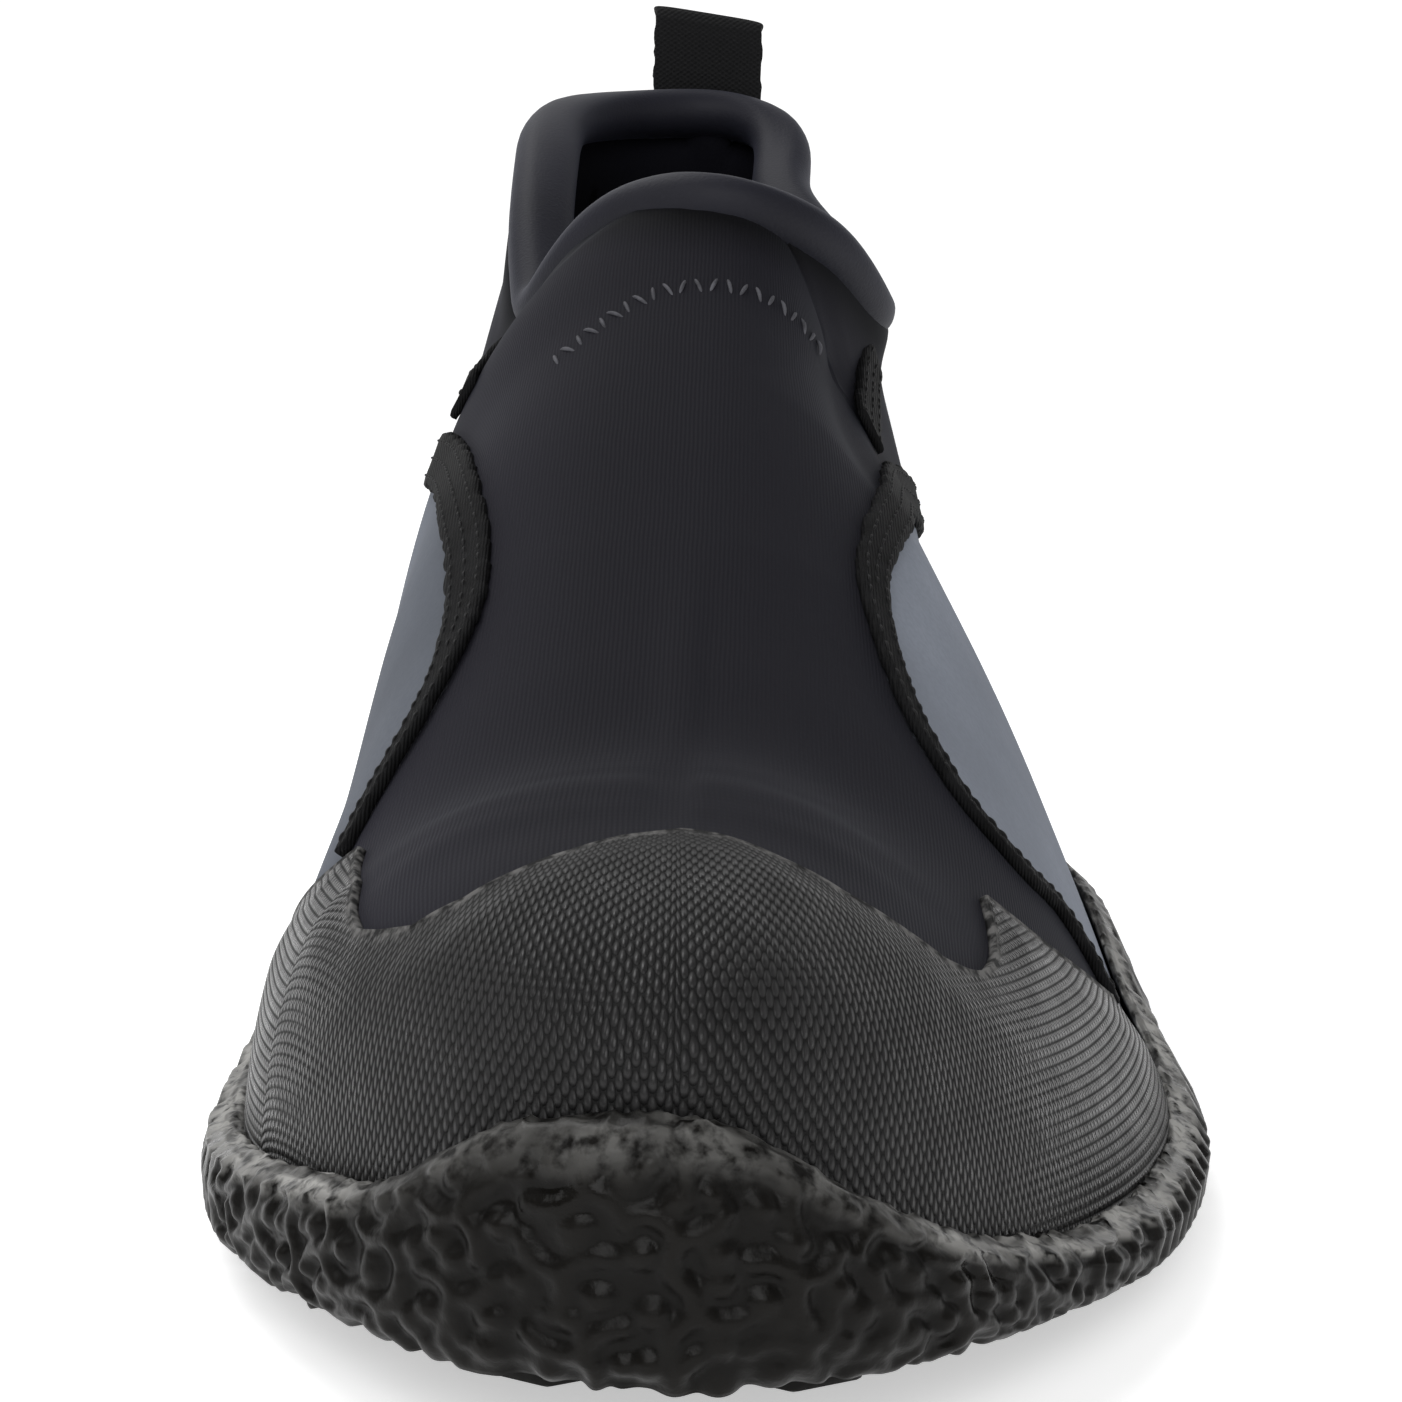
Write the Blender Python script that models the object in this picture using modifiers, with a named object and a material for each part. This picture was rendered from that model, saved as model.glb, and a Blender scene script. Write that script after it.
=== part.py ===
"""Low neoprene reef boot for the left foot.

Sizes are millimetres in the boot's own axes: x runs to the outside of the foot, y from the toe back to
the heel, z up from the floor. The finished boot stands on the origin with its toe towards -Y.
"""

import math

import bmesh
import bpy
import numpy as np
from mathutils import Vector

MM = 0.001

# Driving sizes
LENGTH = 272.0  # outsole, toe to heel
BALL_WIDTH = 103.0  # outsole across the ball of the foot
INSTEP_HEIGHT = 102.5  # ridge of the upper where the collar opens
HEEL_HEIGHT = 119.5  # upper's edge at the back of the heel
NEOPRENE = 3.0  # wall of the upper
GAP = 0.3  # between pieces that lie on each other

# Section of the upper
MEDIAL, LATERAL = -1, 1
LATERAL_FULLNESS = 2.2  # superellipse exponent of the arch on the little-toe side
RISE_FULLNESS = 2.5  # spaces the points up the arch alike on both sides
FLARE_HEIGHT = 0.74 * INSTEP_HEIGHT  # the sides spread towards the sole below this
FLARE_POWER = 1.15
TOE_ROUNDING = 0.276 * LENGTH  # length over which the toe closes in plan
TOE_RISE = 0.125 * LENGTH  # length over which the toe box reaches its height
HEEL_ROUNDING = 0.16 * LENGTH
END_FULLNESS = 2.2
NOSE_HEIGHT = 0.3 * INSTEP_HEIGHT  # blunt front of the toe

# Sections of the last, toe to heel. along is a share of LENGTH; axis, medial and lateral are shares of
# BALL_WIDTH, of the ridge and of the two edges at the feather line; ridge and feather are shares of
# INSTEP_HEIGHT; the crowns are the shares of the half widths that the top of the arch spans; fullness is the
# exponent of the arch on the big-toe side.
SECTION_COLUMNS = (
    "along",
    "axis",
    "medial",
    "lateral",
    "ridge",
    "feather",
    "medial_crown",
    "lateral_crown",
    "fullness",
)
SECTION_ROWS = (
    (0.018, -0.049, -0.388, 0.285, 0.425, 0.126, 1.00, 0.92, 2.8),
    (0.092, -0.049, -0.396, 0.322, 0.439, 0.108, 1.00, 0.80, 2.8),
    (0.165, -0.049, -0.427, 0.380, 0.454, 0.088, 1.00, 0.69, 2.6),
    (0.228, -0.044, -0.438, 0.418, 0.483, 0.074, 0.98, 0.64, 2.4),
    (0.294, -0.039, -0.444, 0.452, 0.557, 0.070, 0.94, 0.61, 2.4),
    (0.368, -0.034, -0.438, 0.472, 0.658, 0.072, 0.90, 0.58, 2.5),
    (0.441, -0.029, -0.428, 0.480, 0.774, 0.080, 0.92, 0.56, 2.6),
    (0.515, -0.024, -0.420, 0.472, 0.893, 0.084, 0.99, 0.54, 2.3),
    (0.581, -0.020, -0.413, 0.446, 1.000, 0.080, 1.03, 0.55, 2.2),
    (0.632, -0.020, -0.403, 0.416, 1.000, 0.074, 1.03, 0.63, 2.25),
    (0.673, -0.020, -0.393, 0.392, 1.000, 0.071, 1.02, 0.71, 2.6),
    (0.735, -0.015, -0.374, 0.366, 1.000, 0.068, 0.97, 0.77, 3.1),
    (0.790, -0.010, -0.360, 0.350, 1.000, 0.068, 0.96, 0.82, 3.0),
    (0.901, -0.003, -0.345, 0.335, 1.000, 0.068, 0.94, 0.90, 2.8),
    (0.982, 0.000, -0.335, 0.325, 1.000, 0.068, 0.92, 0.92, 2.6),
)
SECTION_UNITS = (LENGTH, *3 * (BALL_WIDTH,), *2 * (INSTEP_HEIGHT,), *3 * (1.0,))

# Edge of the collar from the throat back. along is a share of LENGTH; the heights are shares of the step from
# INSTEP_HEIGHT to HEEL_HEIGHT; the cuts are how far up its section, as a share of the height, the edge lies.
COLLAR_COLUMNS = ("along", "medial_height", "lateral_height", "medial_cut", "lateral_cut")
COLLAR_ROWS = (
    (0.581, 0.00, 0.00, 1.000, 1.000),
    (0.592, -0.05, -0.04, 0.994, 0.970),
    (0.607, -0.16, -0.14, 0.976, 0.915),
    (0.632, -0.52, -0.42, 0.935, 0.820),
    (0.665, -0.85, -0.76, 0.905, 0.715),
    (0.699, -0.58, -0.76, 0.895, 0.700),
    (0.735, -0.20, -0.68, 0.885, 0.740),
    (0.790, 0.28, -0.46, 0.855, 0.790),
    (0.882, 0.76, 0.22, 0.815, 0.925),
    (0.982, 1.00, 1.00, 0.800, 0.800),
)
THROAT = COLLAR_ROWS[0][0] * LENGTH

# Curve of the heel seen from the side: shift along the foot for each height
HEEL_CURVE_COLUMNS = ("height", "shift")
HEEL_CURVE_ROWS = ((7.0, -3.5), (25.0, 0.0), (50.0, -2.0), (85.0, -7.5), (120.0, -12.5))
HEEL_CURVE_START = 0.58 * LENGTH

# Edge of the toe cap behind its front part, as how far up the sections it lies: notches, then horns
CAP_COLUMNS = ("along", "medial", "lateral")
CAP_ROWS = (
    (0.116, 0.550, 0.550),
    (0.124, 0.515, 0.550),
    (0.132, 0.490, 0.530),
    (0.140, 0.478, 0.450),
    (0.150, 0.482, 0.410),
    (0.166, 0.498, 0.374),
    (0.184, 0.513, 0.371),
    (0.204, 0.520, 0.390),
    (0.222, 0.513, 0.418),
    (0.232, 0.470, 0.405),
    (0.242, 0.425, 0.350),
    (0.255, 0.390, 0.300),
    (0.280, 0.330, 0.208),
    (0.320, 0.260, 0.130),
)

# Top of the outsole's wall, in millimetres above the floor, and the wall's thickness on each side
RIM_COLUMNS = ("along", "medial", "lateral", "medial_wall", "lateral_wall")
RIM_ROWS = (
    (0.025, 29.5, 29.5, 3.6, 3.6),
    (0.036, 28.0, 24.5, 3.6, 3.6),
    (0.059, 21.5, 18.5, 3.6, 3.6),
    (0.103, 17.5, 13.3, 3.4, 3.4),
    (0.165, 14.0, 10.6, 3.0, 2.8),
    (0.228, 11.5, 9.7, 2.8, 2.2),
    (0.290, 10.6, 9.8, 2.6, 2.0),
    (0.340, 12.0, 12.0, 2.6, 2.0),
    (0.397, 16.5, 17.5, 2.8, 2.4),
    (0.460, 21.0, 23.0, 3.0, 2.8),
    (0.551, 23.0, 24.0, 3.0, 3.0),
    (0.680, 22.0, 22.0, 3.2, 3.2),
    (0.827, 24.0, 24.0, 3.4, 3.4),
    (0.938, 30.0, 30.0, 3.6, 3.6),
    (0.982, 33.0, 33.0, 3.6, 3.6),
)

# Toe spring, waist and heel of the underside, in millimetres above the flat of the tread
TREAD_COLUMNS = ("along", "rise")
TREAD_ROWS = (
    (0.020, 6.2),
    (0.060, 5.6),
    (0.110, 4.0),
    (0.165, 2.2),
    (0.215, 0.9),
    (0.260, 0.2),
    (0.300, 0.0),
    (0.430, 0.0),
    (0.500, 1.0),
    (0.580, 1.4),
    (0.660, 0.8),
    (0.720, 0.0),
    (0.940, 0.0),
    (0.982, 0.8),
)

# Outsole, insole and toe cap
WALL_THICKNESS = RIM_ROWS[0][3]
RIB_COUNT = 36  # ribs of the wall on each side of the foot
RIB_POINTS = 3  # points of the wall for each rib
RIB_HEIGHT = 0.8
TREAD_DEPTH = 2.5
FLOOR_DROP = 1.6  # feather line to the outsole's floor: the leaning wall's inner edge hangs lower
CAP_SEAT_END = 0.40 * LENGTH  # the wall stands off the upper in front of this, to take the toe cap
CAP_SEAT_FADE = 0.06 * LENGTH
CLIMB = (0.0, 0.33, 0.67, 1.0)  # rings of the wall's inner face, as shares of its height
RIM_ROUNDING = (0.6, 1.0)  # down from and inward of the rim's outer corner
RIB_SPAN = (0.25, 0.65)  # the ribs' lower and upper ends, as shares of the wall's outer height
RIB_TAPER = 0.3
TREAD_TUCK = 1.6  # the wall draws in under the foot
LUG_RADIUS = 6.8
LUG_PITCH = 19.5
LUG_ROW_PITCH = 0.87 * LUG_PITCH
LUG_MARGIN = 9.5  # lug centre to the edge of the upper
LUG_TAPER = 0.8
LUG_ROOT = 1.2  # how far a lug runs up into the plate
INSOLE_SIDE_GAP = 0.6
INSOLE_LIFT = 2.5 * GAP  # clear of the slightly bent floor
INSOLE_THICKNESS = 3.0
CAP_THICKNESS = 1.4
CAP_TUCK = 6.0  # how far the cap runs down behind the outsole's rim
CAP_FOOT = 0.8  # the cap stops this far above the feather line
CAP_WALL_STEPS = 4
CAP_ROOF_STEPS = 4
CAP_HORN = 0.232 * LENGTH  # the cap's edge drops steeply behind its horns
UPPER_TOE = 3 * GAP + CAP_THICKNESS + WALL_THICKNESS + RIB_HEIGHT
UPPER_HEEL = LENGTH - GAP - WALL_THICKNESS - RIB_HEIGHT

# Section of the rolled cuff: out of the wall's outer face, and up past the upper's edge
CUFF_SECTION = (
    (1.2, 1.0),
    (2.4, 1.9),
    (2.4, 3.4),
    (1.2, 5.2),
    (-1.2, 6.2),
    (-3.6, 5.8),
    (-5.0, 4.2),
    (-5.2, 2.4),
    (-4.2, 1.0),
)

# Seam tapes, each a path over one side of the upper, in millimetres: the lower ones from the toe cap up to the
# ankle and plainly back to the heel, the upper ones from the collar down to the lower tape
TAPE_COLUMNS = ("along", "height", "width")
TAPES = {
    "tape_lower_medial": (
        MEDIAL,
        (
            (72.5, 41.0, 2.2),
            (78.4, 46.0, 2.4),
            (86.0, 51.3, 3.0),
            (93.5, 55.8, 4.6),
            (103.3, 60.8, 6.0),
            (111.3, 64.5, 6.4),
            (121.0, 67.8, 6.6),
            (144.0, 71.0, 7.0),
            (168.0, 70.0, 7.0),
            (200.0, 63.0, 7.0),
            (235.0, 58.0, 7.0),
            (262.0, 56.0, 7.0),
        ),
    ),
    "tape_lower_lateral": (
        LATERAL,
        (
            (85.5, 29.6, 2.0),
            (79.5, 35.5, 2.0),
            (78.6, 40.5, 2.0),
            (83.5, 47.3, 2.4),
            (91.5, 53.2, 3.4),
            (100.0, 58.4, 5.4),
            (107.0, 62.2, 6.4),
            (118.0, 66.0, 6.6),
            (135.0, 69.0, 7.0),
            (160.0, 68.6, 7.0),
            (200.0, 62.5, 7.0),
            (235.0, 58.0, 7.0),
            (262.0, 56.0, 7.0),
        ),
    ),
    "tape_upper_medial": (
        MEDIAL,
        ((176.0, 86.5, 6.5), (170.0, 84.5, 6.5), (163.0, 81.5, 6.5), (156.5, 78.5, 6.5)),
    ),
    "tape_upper_lateral": (
        LATERAL,
        ((178.0, 85.0, 6.5), (171.5, 82.0, 6.5), (164.0, 78.6, 6.5), (156.5, 76.0, 6.5)),
    ),
}
TAPE_THICKNESS = 1.2
TAPE_STEP = 5.0

# Webbing loop behind the heel, seen from the side
LOOP_X = -0.8
LOOP_WIDTH = 18.0
LOOP_WEBBING = 1.6
LOOP_TOP = 139.5
LOOP_OPEN = 5.5  # clear space inside the fold
LOOP_STANDOFF = 3.6  # how far the cuff holds the webbing off the upper
LOOP_HEIGHTS = (92.0, 99.0, 104.0, 107.0, 110.0, 113.0, 116.0, 120.0, 126.0)
LOOP_PARTING = 112.0  # the two layers are sewn together below this
LOOP_SPREAD = 10.0  # height over which the layers part
LOOP_BEND = (104.0, 12.0)  # where the webbing leaves the upper to pass the cuff, and over what height


def table(columns, rows, units):
    """The rows of a table as one array for each named column, in millimetres."""
    return {name: np.array(values) * unit for name, values, unit in zip(columns, zip(*rows), units)}


SECTIONS = table(SECTION_COLUMNS, SECTION_ROWS, SECTION_UNITS)
COLLAR = table(COLLAR_COLUMNS, COLLAR_ROWS, (LENGTH, 1.0, 1.0, 1.0, 1.0))
HEEL_CURVE = table(HEEL_CURVE_COLUMNS, HEEL_CURVE_ROWS, (1.0, 1.0))
CAP = table(CAP_COLUMNS, CAP_ROWS, (LENGTH, 1.0, 1.0))
RIM = table(RIM_COLUMNS, RIM_ROWS, (LENGTH, *4 * (1.0,)))
TREAD = table(TREAD_COLUMNS, TREAD_ROWS, (LENGTH, 1.0))


def smooth(x, knots, values):
    """A smooth curve through a table's points, flat beyond its ends."""
    slopes = np.gradient(values, knots)
    x = np.clip(x, knots[0], knots[-1])
    i = np.clip(np.searchsorted(knots, x) - 1, 0, len(knots) - 2)
    span = knots[i + 1] - knots[i]
    t = (x - knots[i]) / span
    start = (2 * t**3 - 3 * t**2 + 1) * values[i] + (t**3 - 2 * t**2 + t) * span * slopes[i]
    end = (3 * t**2 - 2 * t**3) * values[i + 1] + (t**3 - t**2) * span * slopes[i + 1]
    return start + end


def by_side(side, medial, lateral):
    return np.where(np.asarray(side) < 0, medial, lateral)


def closing(distance, length):
    """0 at an end of the foot, rounding up to 1 over a length."""
    t = np.clip(distance / length, 0.0, 1.0)
    return (1.0 - (1.0 - t) ** END_FULLNESS) ** (1.0 / END_FULLNESS)


def section(column, y):
    return smooth(y, SECTIONS["along"], SECTIONS[column])


def feather(y):
    """Height of the line where the upper meets the sole."""
    return section("feather", y)


def collar(y, side):
    """Height of the collar's edge, and how far up its section it lies."""
    share, cut = (
        by_side(side, *(smooth(y, COLLAR["along"], COLLAR[f"{name}_{what}"]) for name in ("medial", "lateral")))
        for what in ("height", "cut")
    )
    return INSTEP_HEIGHT + share * (HEEL_HEIGHT - INSTEP_HEIGHT), cut


def ridge(y, side):
    """Height of the top of the section, with the toe box rounded down to its blunt nose."""
    edge, cut = collar(y, side)
    closed = NOSE_HEIGHT + (section("ridge", y) - NOSE_HEIGHT) * closing(y - UPPER_TOE, TOE_RISE)
    return np.where(y > THROAT, feather(y) + (edge - feather(y)) / cut, closed)


def half_width(y, side):
    """Signed half width at the feather line, closed round the toe and the heel."""
    edge = by_side(side, section("medial", y), section("lateral", y))
    ends = closing(y - UPPER_TOE, TOE_ROUNDING) * closing(UPPER_HEEL - y, HEEL_ROUNDING)
    return (edge - section("axis", y)) * ends


def lift_at_height(y, z, side):
    """How far up the arch, from 0 at the feather to 1 at the ridge, a height lies."""
    rise = np.clip((z - feather(y)) / (ridge(y, side) - feather(y)), 0.0, 1.0)
    return np.arcsin(rise ** (RISE_FULLNESS / 2)) / (math.pi / 2)


def skin(y, lift, side):
    """Point on the outer face of the upper."""
    fullness = by_side(side, section("fullness", y), LATERAL_FULLNESS)
    rise = np.sin(lift * math.pi / 2) ** (2 / RISE_FULLNESS)
    reach = np.clip(1.0 - rise**fullness, 0.0, 1.0) ** (1 / fullness)
    height = ridge(y, side) - feather(y)
    half = half_width(y, side)
    crown = half * by_side(side, section("medial_crown", y), section("lateral_crown", y))
    flare = np.clip(1.0 - height * rise / np.minimum(height, FLARE_HEIGHT), 0.0, 1.0) ** FLARE_POWER
    x = section("axis", y) + crown * reach + (half - crown) * flare
    z = feather(y) + height * rise
    rear = np.clip((y - HEEL_CURVE_START) / (UPPER_HEEL - HEEL_CURVE_START), 0.0, 1.0)
    return np.array((x, y + rear * smooth(z, HEEL_CURVE["height"], HEEL_CURVE["shift"]), z))


def collar_lift(y, side):
    """How far up the arch the collar cuts the section; 1 where the section is closed."""
    return lift_at_height(y, collar(y, side)[0], side) if y > THROAT else 1.0


def spread(start, stop, count, ease):
    """Values from start to stop, closer together at the eased end; stop is left out."""
    t = np.arange(count) / count
    shapes = {"even": t, "start": t**2, "end": 1 - (1 - t) ** 2}
    return start + (stop - start) * shapes[ease]


TOE_BOX_END = 0.22 * LENGTH
ANKLE = 0.70 * LENGTH
UPPER_STATIONS = np.concatenate(
    (
        spread(UPPER_TOE, TOE_BOX_END, 11, "start"),
        spread(TOE_BOX_END, THROAT, 11, "even"),
        spread(THROAT, ANKLE, 7, "start"),
        spread(ANKLE, UPPER_HEEL, 11, "end"),
        [UPPER_HEEL],
    )
)
ARCH_STEPS = 9


def mapped_grid(name, rows, columns, place, keep=None):
    """A grid primitive whose points are put where place(row, column) says, with points that meet merged."""
    bm = bmesh.new()
    bmesh.ops.create_grid(bm, x_segments=columns - 1, y_segments=rows - 1, size=0.5)
    cells = {}
    for vertex in bm.verts:
        cells[vertex] = (round((vertex.co.y + 0.5) * (rows - 1)), round((vertex.co.x + 0.5) * (columns - 1)))
    if keep:
        dropped = [f for f in bm.faces if not keep(*np.mean([cells[v] for v in f.verts], axis=0))]
        bmesh.ops.delete(bm, geom=dropped, context="FACES")
    for vertex in bm.verts:
        vertex.co = np.asarray(place(*cells[vertex])) * MM
    bmesh.ops.remove_doubles(bm, verts=bm.verts, dist=0.02 * MM)
    bmesh.ops.dissolve_degenerate(bm, edges=bm.edges, dist=0.005 * MM)
    bmesh.ops.recalc_face_normals(bm, faces=bm.faces)
    bm.normal_update()
    if sum(face.normal.x * face.calc_center_median().x * face.calc_area() for face in bm.faces) < 0:
        bmesh.ops.reverse_faces(bm, faces=bm.faces)
    mesh = bpy.data.meshes.new(name)
    bm.to_mesh(mesh)
    bm.free()
    return mesh


def sheet_mesh(name, stations, low, high, steps):
    """The upper's outer face between two lifts, over some stations of both sides of the foot."""

    def place(row, column):
        side = MEDIAL if column <= steps else LATERAL
        share = column / steps if column <= steps else (2 * steps + 1 - column) / steps
        y = stations[row]
        bottom, top = low(y, side), high(y, side)
        return skin(y, bottom + (top - bottom) * share, side)

    def keep(row, column):
        return abs(column - (steps + 0.5)) > 0.25

    return mapped_grid(name, len(stations), 2 * steps + 2, place, keep)


def add_part(name, mesh, material):
    obj = bpy.data.objects.new(name, mesh)
    PARTS.objects.link(obj)
    obj.data.materials.append(material)
    return obj


def principled(name, color, roughness):
    material = bpy.data.materials.new(name)
    material.use_nodes = True
    shader = material.node_tree.nodes["Principled BSDF"]
    shader.inputs["Base Color"].default_value = (*color, 1.0)
    shader.inputs["Roughness"].default_value = roughness
    shader.inputs["Metallic"].default_value = 0.0
    return material


def thicken(obj, thickness, outward):
    """Gives an open sheet its wall, outward or inward of the sheet."""
    solid = obj.modifiers.new("wall", "SOLIDIFY")
    solid.thickness = thickness * MM
    solid.offset = 1.0 if outward else -1.0
    solid.use_even_offset = True
    solid.use_quality_normals = True


def make_upper():
    mesh = sheet_mesh("upper", UPPER_STATIONS, lambda y, side: 0.0, collar_lift, ARCH_STEPS)
    upper = add_part("upper", mesh, principled("black_neoprene", (0.02, 0.02, 0.024), 0.85))
    thicken(upper, NEOPRENE, outward=False)


def loop_of(count):
    """Stations and sides evenly round the foot: from the toe along the outside to the heel and back inside."""
    fine = 0.5 * (UPPER_TOE + UPPER_HEEL - (UPPER_HEEL - UPPER_TOE) * np.cos(np.linspace(0.0, math.pi, 2000)))
    halves = []
    for side in (LATERAL, MEDIAL):
        x, y, _ = skin(fine, 0.0 * fine, side)
        travelled = np.concatenate(([0.0], np.cumsum(np.hypot(np.diff(x), np.diff(y)))))
        halves.append(np.interp(np.linspace(0.0, travelled[-1], count + 1), travelled, fine))
    outside, inside = halves
    return np.concatenate((outside, inside[-2:0:-1])), np.repeat((LATERAL, MEDIAL), (count + 1, count - 1))


def rim_height(along, sides):
    return by_side(sides, *(smooth(along, RIM["along"], RIM[name]) for name in ("medial", "lateral")))


def wall_thickness(along, sides):
    return by_side(sides, *(smooth(along, RIM["along"], RIM[name]) for name in ("medial_wall", "lateral_wall")))


def tread_height(along):
    """Underside of the outsole's plate: toe spring in front, a low arch at the waist."""
    return TREAD_DEPTH + np.maximum(smooth(along, TREAD["along"], TREAD["rise"]), 0.0)


def ring(along, sides, heights, outward):
    """Points round the foot at some heights, level outward of the upper by some distances."""
    lifts = lift_at_height(along, heights, sides)
    points = skin(along, lifts, sides)
    points[2] = heights
    step = np.roll(points, -1, axis=1) - np.roll(points, 1, axis=1)
    points[:2] += outward * np.array((step[1], -step[0])) / np.hypot(step[0], step[1])
    return points.T


def outsole_rings():
    """The cup's rings, from its floor up the inner face, over the rim and down the outer face to the tread."""
    along, sides = loop_of(RIB_COUNT * RIB_POINTS)
    floor = feather(along) - FLOOR_DROP
    rim = rim_height(along, sides)
    tread = tread_height(along)
    tucked = np.clip((CAP_SEAT_END - along) / CAP_SEAT_FADE, 0.0, 1.0)
    inner = GAP + tucked * (CAP_THICKNESS + 2 * GAP)
    rib = RIB_HEIGHT * np.where(np.arange(len(along)) % RIB_POINTS == 0, 1.0, -0.5)
    wall = inner + wall_thickness(along, sides)
    seat = feather(along)
    climb = [seat + share * (rim - seat) for share in CLIMB]
    inside = [ring(along, sides, z, inner) for z in (floor, *climb)]
    rib_foot, rib_head = (tread + share * (rim - tread) for share in RIB_SPAN)
    outside = [
        ring(along, sides, rim - RIM_ROUNDING[0], wall - RIM_ROUNDING[1]),
        ring(along, sides, rib_head, wall + rib),
        ring(along, sides, rib_foot, wall + rib - RIB_TAPER),
        ring(along, sides, tread, wall - TREAD_TUCK),
    ]
    return np.array(inside + outside)


def ring_solid(name, rings):
    """A closed solid through rings of points round the foot, with a ladder of faces across each end."""
    bm = bmesh.new()
    grid = [[bm.verts.new(point * MM) for point in points] for points in rings]
    count = len(rings[0])
    for lower, upper in zip(grid, grid[1:]):
        for i in range(count):
            j = (i + 1) % count
            bm.faces.new((lower[i], lower[j], upper[j], upper[i]))
    for end in (grid[0], grid[-1]):
        for i in range(count // 2):
            rung = (end[i], end[i + 1], end[count - i - 1], end[(count - i) % count])
            bm.faces.new(list(dict.fromkeys(rung)))
    bmesh.ops.recalc_face_normals(bm, faces=bm.faces)
    mesh = bpy.data.meshes.new(name)
    bm.to_mesh(mesh)
    bm.free()
    return mesh


def lug_mesh():
    """The tread's six-sided lugs, each with a flat foot."""
    bm = bmesh.new()
    rows = int(LENGTH // LUG_ROW_PITCH)
    height = TREAD_DEPTH + LUG_ROOT
    for row in range(1, rows):
        y = 0.5 * LENGTH + (row - rows / 2) * LUG_ROW_PITCH
        low, high = (skin(y, 0.0, side)[0] - side * LUG_MARGIN for side in (MEDIAL, LATERAL))
        columns = int((high - low) // LUG_PITCH) + 1
        for column in range(columns if high > low else 0):
            x = 0.5 * (low + high) + (column - 0.5 * (columns - 1)) * LUG_PITCH
            foot = tread_height(y) - TREAD_DEPTH
            made = bmesh.ops.create_cone(
                bm,
                cap_ends=True,
                segments=6,
                radius1=(LUG_RADIUS - LUG_TAPER) * MM,
                radius2=LUG_RADIUS * MM,
                depth=height * MM,
            )
            middle = Vector((x, y, foot + 0.5 * height)) * MM
            bmesh.ops.translate(bm, verts=made["verts"], vec=middle)
    mesh = bpy.data.meshes.new("lugs")
    bm.to_mesh(mesh)
    bm.free()
    return mesh


def make_outsole():
    rubber = principled("black_rubber", (0.012, 0.011, 0.010), 0.6)
    outsole = add_part("outsole", ring_solid("outsole", outsole_rings()), rubber)
    lugs = bpy.data.objects.new("lugs", lug_mesh())
    FORMS.objects.link(lugs)
    lugs.hide_render = True
    lugs.display_type = "WIRE"
    join = outsole.modifiers.new("lugs", "BOOLEAN")
    join.operation = "UNION"
    join.object = lugs


def make_insole():
    along, sides = loop_of(RIB_COUNT)
    inward = -(NEOPRENE + GAP + INSOLE_SIDE_GAP)
    floor = feather(along) - FLOOR_DROP + INSOLE_LIFT
    rings = [ring(along, sides, floor + up, inward) for up in (0.0, INSOLE_THICKNESS)]
    add_part("insole", ring_solid("insole", rings), principled("grey_foam", (0.05, 0.05, 0.055), 0.9))


def cap_mesh():
    """The toe cap: whole sections in front, and behind them only the part of each section below the cap's edge."""
    front = CAP["along"][0]
    stations = np.concatenate(
        (
            spread(UPPER_TOE, front, 8, "start"),
            spread(front, CAP_HORN, 8, "even"),
            spread(CAP_HORN, CAP["along"][-1], 6, "even"),
            [CAP["along"][-1]],
        )
    )
    top = CAP_WALL_STEPS + CAP_ROOF_STEPS

    def place(row, column):
        side = MEDIAL if column <= top else LATERAL
        step = column if column <= top else 2 * top + 1 - column
        y = stations[row]
        foot = np.maximum(rim_height(y, side) - CAP_TUCK, feather(y) + CAP_FOOT)
        low = lift_at_height(y, foot, side)
        edge = smooth(y, CAP["along"], CAP["medial" if side == MEDIAL else "lateral"])
        if step <= CAP_WALL_STEPS:
            return skin(y, low + (edge - low) * step / CAP_WALL_STEPS, side)
        return skin(y, edge + (1.0 - edge) * (step - CAP_WALL_STEPS) / CAP_ROOF_STEPS, side)

    def keep(row, column):
        behind = stations[int(row)] > front - 0.1
        seam = abs(column - (top + 0.5)) < 0.25
        return not seam and not (behind and CAP_WALL_STEPS < column < 2 * top + 1 - CAP_WALL_STEPS)

    return mapped_grid("toe_cap", len(stations), 2 * top + 2, place, keep)


def make_toe_cap():
    cap = add_part("toe_cap", cap_mesh(), principled("textured_rubber", (0.045, 0.043, 0.041), 0.7))
    lay_on(cap, CAP_THICKNESS)


def lay_on(obj, thickness):
    """Lifts a sheet clear of the upper and gives it its thickness outward."""
    lift = obj.modifiers.new("clear of the upper", "DISPLACE")
    lift.strength = GAP * MM
    lift.mid_level = 0.0
    thicken(obj, thickness, outward=True)


def collar_frames():
    """Round the collar's edge: the points, the outward normals, and the directions out of the upper's edge."""
    half = UPPER_STATIONS[UPPER_STATIONS >= THROAT]
    along = np.concatenate((half, half[-2:0:-1]))
    sides = np.where(np.arange(len(along)) < len(half), LATERAL, MEDIAL)
    points, normals = [], []
    for y, side in zip(along, sides):
        lift = collar_lift(y, side)
        edge = skin(y, lift, side)
        normal = np.cross(skin(y, lift - 0.03, side) - edge, skin(y - 1.5, lift, side) - edge)
        normals.append(normal * -side / np.linalg.norm(normal))
        points.append(edge)
    points, normals = np.array(points), np.array(normals)
    edge_way = np.roll(points, -1, axis=0) - np.roll(points, 1, axis=0)
    outs = np.cross(normals, edge_way)
    outs /= np.linalg.norm(outs, axis=1, keepdims=True)
    return points, normals, outs


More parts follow.
